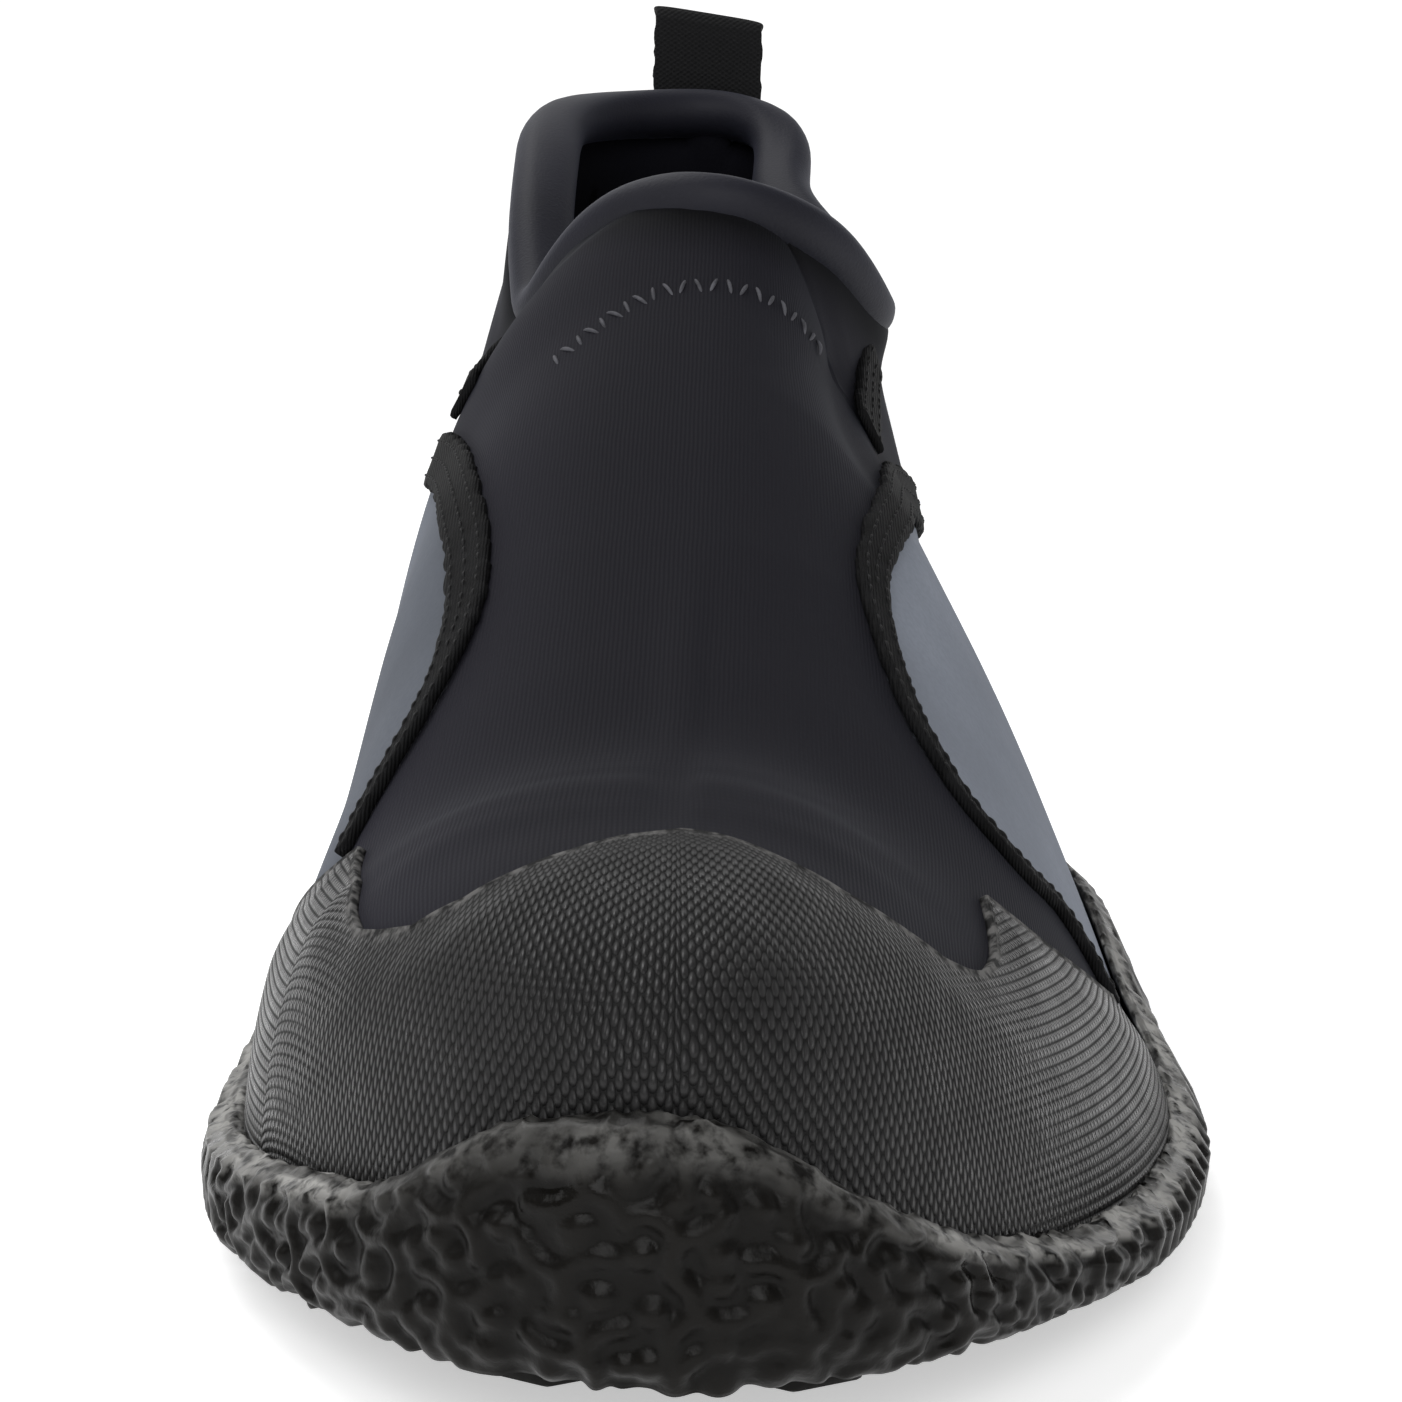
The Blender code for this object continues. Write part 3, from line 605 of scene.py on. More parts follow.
def join_pieces(name, pieces):
    """Several pieces as one object."""
    deselect_all()
    for piece in pieces:
        piece.select_set(True)
    bpy.context.view_layer.objects.active = pieces[0]
    bpy.ops.object.join()
    joined = bpy.context.object
    joined.name = joined.data.name = name
    return joined


def dress(obj, materials, node=None):
    """Gives a piece its finish and its place in the object."""
    for material in materials:
        obj.data.materials.append(material)
    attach(obj, "root")
    if node:
        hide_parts(node)
    return obj


def scaled(color, factor):
    return tuple(factor * part for part in color)


class Finish:
    """A Principled material with short calls for its nodes."""

    def __init__(self, name, color, roughness, **sockets):
        self.material = bpy.data.materials.new(name)
        self.material.use_nodes = True
        self.tree = self.material.node_tree
        self.shader = self.tree.nodes["Principled BSDF"]
        self.set("Base Color", (*color, 1.0))
        self.set("Roughness", roughness)
        for socket, value in sockets.items():
            self.set(socket.replace("_", " "), value)

    def set(self, socket, value):
        self.plug(self.shader.inputs[socket], value)

    def plug(self, socket, value):
        if isinstance(value, bpy.types.NodeSocket):
            self.tree.links.new(value, socket)
        else:
            socket.default_value = value

    def node(self, kind, inputs=(), out=0, **settings):
        made = self.tree.nodes.new("ShaderNode" + kind)
        for name, value in settings.items():
            setattr(made, name, value)
        for key, value in dict(inputs).items():
            self.plug(made.inputs[key], value)
        return made.outputs[out]

    def fact(self, name, out="Fac"):
        return self.node("Attribute", out=out, attribute_name=name)

    def place(self):
        return self.node("TexCoord", out="Object")

    def parts(self, vector):
        """The x, y and z of a vector."""
        made = self.tree.nodes.new("ShaderNodeSeparateXYZ")
        self.plug(made.inputs[0], vector)
        return made.outputs

    def product(self, first, second):
        return self.sums("MULTIPLY", first, second)

    def wave(self, along, pitch):
        """A sine wave along a length, from -1 to 1."""
        return self.sums("SINE", self.product(along, 2 * math.pi / pitch))

    def blend(self, factor, first, second):
        return self.node("Mix", {0: factor, 2: first, 3: second}, data_type="FLOAT")

    def shades(self, factor, color, low, high):
        """A colour between two brightnesses of one colour."""
        return self.mix(factor, scaled(color, low), scaled(color, high))

    def speckle(self, scale, detail=3.0, vector=None):
        inputs = {"Vector": vector or self.place(), "Scale": scale, "Detail": detail}
        return self.node("TexNoise", inputs)

    def sums(self, operation, *values):
        return self.node("Math", dict(enumerate(values)), operation=operation)

    def ramp(self, value, low, high, to_low=0.0, to_high=1.0):
        inputs = {"Value": value, 1: low, 2: high, 3: to_low, 4: to_high}
        return self.node("MapRange", inputs)

    def mix(self, factor, first, second):
        inputs = {0: factor, 6: (*first, 1.0) if isinstance(first, tuple) else first}
        inputs[7] = (*second, 1.0) if isinstance(second, tuple) else second
        return self.node("Mix", inputs, out=2, data_type="RGBA")

    def bump(self, height, distance, strength=1.0, under=None):
        inputs = {"Height": height, "Distance": distance * MM, "Strength": strength}
        if under:
            inputs["Normal"] = under
        return self.node("Bump", inputs)


class BootSizes(bpy.types.PropertyGroup):
    """Sizes of the finish that can be changed."""

    rib_pitch: bpy.props.FloatProperty(
        name="Rib pitch",
        description="Distance between the ribs of the vamp's knit",
        default=0.48 * MM,
        unit="LENGTH",
    )
    lattice_pitch: bpy.props.FloatProperty(
        name="Lattice pitch",
        description="Distance between neighbours in the toe cap's relief",
        default=1.16 * MM,
        unit="LENGTH",
    )
    lattice_row: bpy.props.FloatProperty(
        name="Lattice row",
        description="Distance between the rows of the toe cap's relief",
        default=0.84 * MM,
        unit="LENGTH",
    )
    lattice_height: bpy.props.FloatProperty(
        name="Lattice height",
        description="How far the toe cap's relief stands out",
        default=0.3 * MM,
        unit="LENGTH",
    )
    coral_height: bpy.props.FloatProperty(
        name="Coral height",
        description="How far the outsole's lumps stand out",
        default=1.0 * MM,
        unit="LENGTH",
    )
    stitch_pitch: bpy.props.FloatProperty(
        name="Stitch pitch",
        description="Distance between stitches on the tapes",
        default=2.3 * MM,
        unit="LENGTH",
    )
    thread: bpy.props.FloatProperty(
        name="Thread",
        description="Thickness of the sewing thread",
        default=0.36 * MM,
        unit="LENGTH",
    )


class BootColors(bpy.types.PropertyGroup):
    """Colours of the finish that can be changed."""

    vamp: bpy.props.FloatVectorProperty(
        name="Vamp",
        description="Black neoprene",
        subtype="COLOR",
        size=3,
        default=(0.0084, 0.0079, 0.0112),
    )
    panel: bpy.props.FloatVectorProperty(
        name="Side panel",
        description="Blue-grey neoprene",
        subtype="COLOR",
        size=3,
        default=(0.205, 0.225, 0.265),
    )
    cap: bpy.props.FloatVectorProperty(
        name="Toe cap",
        description="Dark grey rubber",
        subtype="COLOR",
        size=3,
        default=(0.0125, 0.0122, 0.0124),
    )
    sole: bpy.props.FloatVectorProperty(
        name="Sole",
        description="Black rubber",
        subtype="COLOR",
        size=3,
        default=(0.0038, 0.0033, 0.0027),
    )
    scuff: bpy.props.FloatVectorProperty(
        name="Scuff",
        description="Worn rubber of the rim",
        subtype="COLOR",
        size=3,
        default=(0.36, 0.355, 0.34),
    )
    cuff: bpy.props.FloatVectorProperty(
        name="Cuff",
        description="Navy neoprene of the collar",
        subtype="COLOR",
        size=3,
        default=(0.0095, 0.0095, 0.0148),
    )
    tape: bpy.props.FloatVectorProperty(
        name="Tape",
        description="Black tape and thread",
        subtype="COLOR",
        size=3,
        default=(0.005, 0.005, 0.0054),
    )


def sizes():
    return bpy.context.scene.reef_boot_sizes


def colors():
    return bpy.context.scene.reef_boot_colors


# Upper
STATION_STEP = 1.15
TOE_DENSE = 20.0
HEEL_DENSE = 14.0
ARCH_POINTS = 62
PANEL_BEHIND = LENGTH + 20.0
PANEL_BELOW = -5.0
THROAT_EASE = 9.0
RIDGE_SHARE = 0.1
CREASE_END_SHARE = 0.04
EDGE_POINTS = 4
GROOVE_DEPTH = 2.4
GROOVE_REACH = 4.4
GROOVE_WIDENING = 3.0
RIBS_END = THROAT + 4.0
RIBS_FADE = 14.0
RIB_WOBBLE = 0.25
KNIT_LOOP = 0.9
# Along the foot: where painted light on the vamp and painted shade on the medial panel fade out
PAINTED_SHADING_FADE = (120.0, 180.0)
# Across the medial side: painted light on the vamp's flank, strongest at the first distance and gone at the
# second
FLANK_PAINTED_LIGHT = (-34.0, -10.0)
# Heights where painted shade deep in the lining gives way to the lighter lining near the collar
LINING_SHADE = (85.0, 118.0)


def upper_stations():
    """Places along the foot, closer together round the toe, the throat and the heel."""
    toe = UPPER_TOE + TOE_DENSE * np.linspace(0.0, 1.0, 26) ** 2
    body = np.arange(toe[-1] + STATION_STEP, UPPER_HEEL - HEEL_DENSE, STATION_STEP)
    heel = UPPER_HEEL - HEEL_DENSE * np.linspace(1.0, 0.0, 18) ** 2
    return np.unique(np.round(np.concatenate((toe, body, [THROAT], heel)), 4))


def inside_outline(y, z, outline):
    """Which points lie inside a closed outline of (along, height) corners."""
    inside = np.zeros(np.shape(y), bool)
    for (y0, z0), (y1, z1) in zip(outline, outline[1:] + outline[:1]):
        crosses = (z0 > z) != (z1 > z)
        with np.errstate(divide="ignore", invalid="ignore"):
            inside ^= crosses & (y < y0 + (z - z0) * (y1 - y0) / (z1 - z0))
    return inside


def panel_outline(tape):
    """The side panel below a lower tape, as far as the sole and round the heel."""
    path = [(y, z) for y, z, _ in TAPES[tape][1]]
    start, end = path[0], path[-1]
    return path + [(PANEL_BEHIND, end[1]), (PANEL_BEHIND, PANEL_BELOW), (start[0] - 2.0, PANEL_BELOW)]


def crease_lift(y, z, side):
    """How far the creases push the skin out or in."""
    total = np.zeros(np.shape(y))
    for crease_side, rows in CREASES.values():
        line = table(CREASE_COLUMNS, rows)
        knots = travelled(np.stack((line["along"], line["height"]), axis=1))
        fine = np.linspace(0.0, knots[-1], 60)
        path = {name: smooth(fine, knots, line[name]) for name in CREASE_COLUMNS}
        near = np.full(np.shape(y), 1e9)
        rise, breadth = np.zeros(np.shape(y)), np.ones(np.shape(y))
        for py, pz, pr, pb in zip(*(path[name] for name in CREASE_COLUMNS)):
            distance = np.hypot(y - py, z - pz)
            closer = distance < near
            near = np.where(closer, distance, near)
            rise, breadth = np.where(closer, pr, rise), np.where(closer, pb, breadth)
        total += np.where(np.asarray(side) == crease_side, rise * np.exp(-((near / breadth) ** 2)), 0.0)
    return total


def collar_distance(points):
    """Distance of the skin's points from the collar's edge."""
    along = np.linspace(THROAT, UPPER_HEEL, 260)
    edges = [skin(along, collar_lift(along, side), side) for side in (MEDIAL, LATERAL)]
    nearest = np.full(points.shape[:-1], 1e9)
    for place in np.concatenate(edges):
        nearest = np.minimum(nearest, np.linalg.norm(points - place, axis=-1))
    return nearest


def skin_normals(points, side):
    """Outward normals of a patch of skin, rows along the foot and columns up the arch."""
    normals = np.cross(np.gradient(points, axis=0), np.gradient(points, axis=1))
    return unit(normals) * side


def upper_half(y, share, side, tape):
    """One side of the skin, creased and grooved: its points, and the facts that its finish reads."""
    lift = collar_lift(y, side)[:, None] * share
    points = skin(y[:, None], lift, side)
    normals = skin_normals(points, -side)
    normals[:, -EDGE_POINTS:] = normals[:, -EDGE_POINTS - 1 : -EDGE_POINTS]
    behind = eased((y[:, None] - THROAT) / THROAT_EASE)
    normals[..., 0] *= behind + (1.0 - behind) * eased((1.0 - share) / RIDGE_SHARE)
    normals = unit(normals)
    normals[:2] = normals[-2:] = 0.0
    push = crease_lift(points[..., 1], points[..., 2], side) * eased((1.0 - share) / CREASE_END_SHARE)
    # Trough below the collar roll: it pushes the skin in, and its weight also sets where painted shade
    # darkens the vamp
    reach = GROOVE_REACH + GROOVE_WIDENING * front_share(y[:, None])
    groove_and_shade = np.exp(-((collar_distance(points) / reach) ** 2))
    push -= GROOVE_DEPTH * groove_and_shade
    points = points + normals * push[..., None]
    steps = np.linalg.norm(np.diff(points, axis=1), axis=2)
    up = np.concatenate((np.zeros((len(y), 1)), np.cumsum(steps, axis=1)), axis=1)
    whole = np.where(y > THROAT, np.interp(THROAT, y, up[:, -1]), up[:, -1])
    across, along, height = side * (whole[:, None] - up), points[..., 1], points[..., 2]
    return {
        "points": points,
        "knit": np.stack((across, along, height), axis=-1) * MM,
        "panel": inside_outline(along, height, panel_outline(tape)).astype(float),
        "ribbed": eased((RIBS_END - along) / RIBS_FADE),
        "groove_and_shade": groove_and_shade,
    }


def make_upper_mesh():
    """The hollow upper: both sides of the skin, creased, with places for knit and panels."""
    y = upper_stations()
    share = np.linspace(0.0, 1.0, ARCH_POINTS)
    medial, lateral = (
        upper_half(y, share, side, tape)
        for side, tape in ((MEDIAL, "tape_lower_medial"), (LATERAL, "tape_lower_lateral"))
    )
    facts = {name: np.concatenate((medial[name], lateral[name][:, ::-1]), axis=1) for name in medial}
    points = facts.pop("points")
    dropped = np.zeros((len(y) - 1, 2 * ARCH_POINTS - 1), bool)
    dropped[:, ARCH_POINTS - 1] = True
    upper = shaped_grid("upper_shell", points, facts, dropped)
    upper.data.materials.append(neoprene_finish())
    upper.data.materials.append(lining_finish())
    apply_modifier(upper, "SOLIDIFY", thickness=NEOPRENE * MM, offset=-1.0, material_offset=1)
    return upper


def neoprene_finish():
    """Ribbed black knit over foam in front, smooth blue-grey cloth on the side panels, with painted light on
    the vamp's medial flank, painted shade in the trough below the collar roll and painted shade on the
    medial panel.
    """
    color = colors()
    finish = Finish("ribbed_neoprene", color.vamp, 0.8, Sheen_Weight=0.03, Sheen_Roughness=0.5)
    finish.set("Specular IOR Level", 0.11)
    finish.set("Sheen Tint", (0.55, 0.6, 0.75, 1.0))
    knit = finish.fact("knit", "Vector")
    panel = finish.fact("panel")
    across, along, _ = finish.parts(knit)
    wobble = finish.product(finish.speckle(220.0, 2.0), RIB_WOBBLE * MM)
    ribs = finish.ramp(finish.wave(finish.sums("ADD", across, wobble), sizes().rib_pitch), -1.0, 1.0)
    loops = finish.ramp(finish.wave(along, KNIT_LOOP * MM), -1.0, 1.0, 0.55, 1.0)
    stitches = finish.product(loops, ribs)
    vamp_height = finish.sums("ADD", finish.product(ribs, 0.65), finish.product(stitches, 0.35))
    cloth = finish.product(finish.speckle(2600.0, 2.0), 0.35)
    ribbed = finish.product(finish.fact("ribbed"), finish.sums("SUBTRACT", 1.0, panel))
    finish.set("Normal", finish.bump(finish.blend(ribbed, cloth, vamp_height), 0.14, 0.36))
    shade = finish.shades(ribs, color.vamp, 0.93, 1.06)
    # Painted light: the vamp's medial flank made lighter, fading out further back
    ahead = finish.ramp(along, PAINTED_SHADING_FADE[0] * MM, PAINTED_SHADING_FADE[1] * MM, 1.0, 0.0)
    flank = finish.ramp(across, FLANK_PAINTED_LIGHT[0] * MM, FLANK_PAINTED_LIGHT[1] * MM, 0.8, 0.0)
    shade = finish.mix(finish.product(flank, ahead), shade, scaled(color.vamp, 2.0))
    # Painted shade: the vamp darkened in the trough below the collar roll
    groove_and_shade = finish.ramp(finish.fact("groove_and_shade"), 0.1, 0.65)
    shade = finish.mix(groove_and_shade, shade, scaled(color.vamp, 0.15))
    patches = finish.ramp(finish.speckle(38.0, 3.0), 0.35, 0.7)
    fleck = finish.ramp(finish.speckle(1500.0, 2.0), 0.35, 0.7)
    grey = finish.shades(patches, color.panel, 0.86, 1.1)
    grey = finish.mix(finish.product(fleck, 0.35), grey, scaled(color.panel, 0.72))
    # Painted shade: the medial side panel darkened, fading out further back
    medial = finish.ramp(across, -1.0 * MM, 1.0 * MM, 0.5, 0.0)
    panel_shading = finish.sums("SUBTRACT", 1.0, finish.product(medial, ahead))
    finish.set("Base Color", finish.mix(panel, shade, finish.mix(panel_shading, (0.0, 0.0, 0.0), grey)))
    return finish.material


def lining_finish():
    """Dark cloth inside, with painted shade that darkens it lower down and a dimmed cuff colour near the
    collar.
    """
    finish = Finish("lining_with_painted_shade", (0.004, 0.004, 0.005), 0.95)
    finish.set("Specular IOR Level", 0.08)
    height = finish.parts(finish.place())[2]
    # Painted shade: the lining darkened lower down in the boot
    near = finish.ramp(height, LINING_SHADE[0] * MM, LINING_SHADE[1] * MM)
    finish.set("Base Color", finish.mix(near, (0.0015, 0.0015, 0.0018), scaled(colors().cuff, 0.45)))
    finish.set("Normal", finish.bump(finish.speckle(1400.0, 2.0), 0.2, 0.6))
    return finish.material


# Outsole
SOLE_POINTS = 640
TOE_CROWDING = 0.6
WALL_ROWS = 58
RIM_ROWS_ACROSS = 7
WALL_PROFILE = ((0.0, 0.1, 0.25, 0.65, 0.93, 1.0), (-2.2, -0.9, -0.3, 0.0, -0.5, -1.3))
CORAL_SEED = 11
TOE_ZONE = 58.0
CORAL_CELL = (7.4, 6.2)
CORAL_ROWS = 6
CORAL_ARMS = 3
ARM_BITS = 3
ARM_TURN = 2.1
ARM_BEND = 0.45
ARM_STEP = 1.3
ARM_RADIUS = 1.08
ARM_HEIGHT = 0.95
ARM_TAPER = 0.06
BAY_TURN = 1.05
BAY_REACH = 2.9
BAY_RADIUS = 1.45
ROPE_PITCH = 4.1
ROPE_LEAN = 4.2
ROPE_START = 2.0
ROPE_MIDDLE = 11.0
LUG_ROUNDING = 0.7
NUB_RADIUS = 2.2
NUB_HEIGHT = 1.15
# Crumbs of the rim: rise, grain and seed of each noise
CRUMBS = ((0.32, 0.9, 3.0), (0.22, 2.3, 5.0))
RIM_CROWN = 0.5
UNDERSIDE_INSET = 4.0
WORN_BELOW = 15.0
WORN_FADE = 8.0


def loop_of(count):
    """Stations, sides and signed distances round the foot: outside from toe to heel, then back inside."""
    turn = np.linspace(0.0, math.pi, 3000)
    fine = 0.5 * (UPPER_TOE + UPPER_HEEL - (UPPER_HEEL - UPPER_TOE) * np.cos(turn))
    halves, distances = [], []
    for side in (LATERAL, MEDIAL):
        run = travelled(skin(fine, 0.0, side)[:, :2])
        share = np.linspace(0.0, 1.0, count + 1)
        even = run[-1] * ((1.0 - TOE_CROWDING) * share + TOE_CROWDING * share**2)
        halves.append(np.interp(even, run, fine))
        distances.append(side * even)
    along = np.concatenate((halves[0], halves[1][-2:0:-1]))
    distance = np.concatenate((distances[0], distances[1][-2:0:-1]))
    return along, np.repeat((LATERAL, MEDIAL), (count + 1, count - 1)), distance


def ring(along, sides, heights, outward):
    """Points round the foot at some heights, level outward of the upper by some distances."""
    points = skin(along, lift_at_height(along, heights, sides), sides)
    points[:, 2] = heights
    step = np.roll(points, -1, axis=0) - np.roll(points, 1, axis=0)
    out = unit(np.stack((step[:, 1], -step[:, 0]), axis=1))
    points[:, :2] += np.asarray(outward)[..., None] * out
    return points


def coral_strokes(reach):
    """Lumps and branching ridges of the wall, as strokes: from, to, radius and height of each."""
    random = np.random.default_rng(CORAL_SEED)
    strokes = []
    columns = int(2 * TOE_ZONE / CORAL_CELL[0])
    for column in range(columns + 1):
        for row in range(CORAL_ROWS):
            s = -TOE_ZONE + column * CORAL_CELL[0] + random.uniform(-0.7, 0.7)
            h = (row + 0.5 * (column % 2)) * CORAL_CELL[1] + random.uniform(-0.6, 0.6)
            kind, turn = random.uniform(), random.uniform(0.0, math.pi)
            size, tall = random.uniform(0.85, 1.25), random.uniform(0.8, 1.15)
            bend = ARM_BEND if kind < 0.5 else -ARM_BEND
            for arm in range(CORAL_ARMS):
                way = turn + arm * ARM_TURN
                aside = way + BAY_TURN + bend
                bay = (s + BAY_REACH * math.cos(aside), h + BAY_REACH * math.sin(aside))
                strokes.append((*bay, *bay, BAY_RADIUS * size, tall))
                at = (s, h)
                for bit in range(ARM_BITS):
                    to = (at[0] + ARM_STEP * math.cos(way), at[1] + ARM_STEP * math.sin(way))
                    radius, height = ARM_RADIUS - ARM_TAPER * bit, ARM_HEIGHT - ARM_TAPER * bit
                    strokes.append((*at, *to, radius * size, height * tall))
                    at = to
                    way += bend
    for side in (MEDIAL, LATERAL):
        count = int((reach - TOE_ZONE) / ROPE_PITCH)
        for rope in range(-1, count + 1):
            s = side * (TOE_ZONE + ROPE_START + rope * ROPE_PITCH + random.uniform(-0.5, 0.5))
            lean = side * ROPE_LEAN * random.uniform(0.7, 1.3)
            middle = ROPE_MIDDLE + random.uniform(-2.0, 2.0)
            foot, knee = (s, -2.0), (s + 0.6 * lean, 0.45 * middle)
            bend, head = (s + 1.5 * lean, middle), (s + 1.6 * lean, middle + 18.0)
            strokes.append((*foot, *knee, 1.9, 1.0))
            strokes.append((*knee, *bend, 1.8, 0.95))
            strokes.append((*bend, *head, 1.6, 0.8))
            if rope % 3 == 0:
                nub = (s - 0.5 * lean, middle + random.uniform(-3.0, 4.0))
                strokes.append((*nub, *nub, NUB_RADIUS, NUB_HEIGHT))
    return strokes


def coral_relief(distance, height, reach):
    """The wall's relief, from 0 to about 1, over distances round the foot and heights up the wall."""
    relief = np.zeros(height.shape)
    order = np.argsort(distance)
    sorted_distance = distance[order]
    for s0, h0, s1, h1, radius, tall in coral_strokes(reach):
        first = np.searchsorted(sorted_distance, min(s0, s1) - radius)
        last = np.searchsorted(sorted_distance, max(s0, s1) + radius)
        columns = order[first:last]
        if not len(columns):
            continue
        ds, dh = distance[columns] - s0, height[:, columns] - h0
        run_s, run_h = s1 - s0, h1 - h0
        square = run_s**2 + run_h**2
        t = np.clip((ds * run_s + dh * run_h) / square, 0.0, 1.0) if square > 0 else 0.0
        away = np.hypot(ds - t * run_s, dh - t * run_h) / radius
        lump = tall * np.clip(1.0 - away**2, 0.0, 1.0)
        relief[:, columns] = np.maximum(relief[:, columns], lump)
    return relief


def closed_round(rows):
    """Rows that end where they begin."""
    rows = np.array(rows)
    return np.concatenate((rows, rows[:, :1]), axis=1)


def softened(values, rounds):
    """Values smoothed over neighbouring rows and columns; the columns close on themselves."""
    for _ in range(rounds):
        across = 0.25 * (np.roll(values, 1, axis=1) + np.roll(values, -1, axis=1)) + 0.5 * values
        padded = np.pad(across, ((1, 1), (0, 0)), mode="edge")
        values = 0.25 * (padded[:-2] + padded[2:]) + 0.5 * across
    return values


def make_outsole_mesh():
    """The cupped sole: floor, inner wall, rough rim, lumpy outer wall and underside."""
    along, sides, distance = loop_of(SOLE_POINTS)
    reach = np.abs(distance).max()
    rim, tread, seat = rim_height(along, sides), tread_height(along), feather(along)
    tucked = np.clip((CAP_SEAT_END - along) / CAP_SEAT_FADE, 0.0, 1.0)
    inner = GAP + tucked * (CAP_THICKNESS - GAP)
    wall = inner + wall_thickness(along, sides) + tucked * 3 * GAP
    rows = [ring(along, sides, seat - FLOOR_DROP, inner)]
    rows += [ring(along, sides, seat + share * (rim - seat), inner) for share in (0.0, 0.35, 0.7, 0.93)]
    level = np.zeros(len(along))
    relief, scuff, gloss = ([level] * len(rows) for _ in range(3))
    top_offset = wall + WALL_PROFILE[1][-1]
    for step in range(1, RIM_ROWS_ACROSS):
        share = step / RIM_ROWS_ACROSS
        crumb = sum(
            rise * noise(distance / grain, seed * share + level, seed) for rise, grain, seed in CRUMBS
        )
        crown = RIM_CROWN * math.sin(math.pi * share)
        rows.append(ring(along, sides, rim + crown + crumb, inner + share * (top_offset - inner)))
        relief.append(0.4 + level)
        gloss.append(level)
        rubbed = eased(0.5 + 1.6 * noise(distance / 4.0, 4.0 * share + level, 17.0))
        scuff.append(0.35 + 0.65 * rubbed)
    share = np.linspace(1.0, 0.0, WALL_ROWS)
    height = share[:, None] * (rim - tread)
    lumps = softened(coral_relief(distance, height, reach), 2)
    around = distance + 0 * height
    grain = 0.55 * noise(around / 0.8, height / 0.8, 7.0) + 0.45 * noise(around / 1.7, height / 1.7, 9.0)
    upward = eased((share[:, None] - 0.35) / 0.35)
    patch = eased(1.4 * noise(around / 8.0, height / 8.0, 13.0) + 0.35) * upward
    fine = grain * (0.03 + 0.34 * patch * np.clip(1.0 - 1.5 * lumps, 0.0, 1.0))
    depth = sizes().coral_height / MM
    for k, t in enumerate(share):
        fade = eased((1.0 - t) / 0.07)
        offset = wall + np.interp(t, *WALL_PROFILE) + fade * (depth * (lumps[k] - 0.4) + fine[k])
        sag = 0.5 * (1.0 - eased(t / 0.12)) * (lumps[k] - 0.5)
        rows.append(ring(along, sides, tread + height[k] - sag, offset))
        relief.append(lumps[k])
        gloss.append(patch[k])
        scuff.append(np.clip((t - 0.8) / 0.2, 0.0, 1.0) + level)
    rows.append(ring(along, sides, tread, wall - UNDERSIDE_INSET))
    for fact in (relief, scuff, gloss):
        fact.append(level)
    dip = 1.0 - eased((rim - WORN_BELOW) / WORN_FADE)
    worn = np.array(scuff) * (0.25 + 0.75 * dip)
    facts = {"relief": closed_round(relief), "scuff": closed_round(worn), "gloss": closed_round(gloss)}
    return shaped_grid("outsole_cup", closed_round(rows), facts, fill=True, merge=0.004)


def make_lugs():
    """The tread's six-sided lugs, each with a rounded foot, modelled once and copied."""
    deselect_all()
    depth = TREAD_DEPTH + LUG_ROOT
    bpy.ops.mesh.primitive_cylinder_add(vertices=6, radius=LUG_RADIUS * MM, depth=depth * MM)
    first = bpy.context.object
    bpy.ops.object.mode_set(mode="EDIT")
    bpy.ops.mesh.select_all(action="SELECT")
    bpy.ops.mesh.bevel(offset=LUG_ROUNDING * MM, segments=2, affect="EDGES")
    bpy.ops.object.mode_set(mode="OBJECT")
    lugs = []
    rows = int(LENGTH // LUG_ROW_PITCH)
    for row in range(1, rows):
        y = 0.5 * LENGTH + (row - rows / 2) * LUG_ROW_PITCH
        low, high = (float(skin(y, 0.0, side)[0]) - side * LUG_MARGIN for side in (MEDIAL, LATERAL))
        columns = int((high - low) // LUG_PITCH) + 1
        for column in range(columns if high > low else 0):
            x = 0.5 * (low + high) + (column - 0.5 * (columns - 1)) * LUG_PITCH
            z = float(tread_height(y)) - TREAD_DEPTH + 0.5 * depth
            lug = first.copy()
            lug.data = first.data.copy()
            lug.data.transform(Matrix.Translation(Vector(on_stage((x, y, z)))))
            bpy.context.scene.collection.objects.link(lug)
            lugs.append(lug)
    bpy.data.objects.remove(first)
    joined = join_pieces("tread_lugs", lugs)
    bpy.ops.object.shade_smooth_by_angle(angle=math.radians(40))
    return joined


def rubber_finish():
    """Black rubber, a little glossy on the lumps and pale where the rim is rubbed, with painted shade in the
    relief's hollows and painted light on its tops.
    """
    color = colors()
    finish = Finish("black_rubber", color.sole, 0.5)
    finish.set("Specular IOR Level", 0.12)
    relief, scuff, gloss = finish.fact("relief"), finish.fact("scuff"), finish.fact("gloss")
    rubbed = finish.ramp(finish.speckle(650.0, 5.0), 0.36, 0.56)
    streak = finish.ramp(finish.speckle(160.0, 3.0), 0.35, 0.65)
    worn = finish.product(scuff, finish.product(rubbed, finish.sums("ADD", streak, 0.4)))
    # Painted shade in the hollows of the relief and painted light on its tops
    relief_shading = finish.shades(finish.ramp(relief, 0.3, 1.1), color.sole, 0.8, 1.5)
    finish.set("Base Color", finish.mix(worn, relief_shading, tuple(color.scuff)))
    rough = finish.ramp(finish.speckle(420.0, 4.0), 0.3, 0.7, 0.32, 0.46)
    rough = finish.sums("SUBTRACT", rough, finish.product(gloss, 0.14))
    finish.set("Roughness", finish.sums("MAXIMUM", rough, finish.product(worn, 0.85)))
    low = finish.bump(finish.speckle(1100.0, 4.0), 0.16, 0.5)
    finish.set("Normal", finish.bump(finish.speckle(330.0, 3.0), 0.35, 0.35, low))
    return finish.material


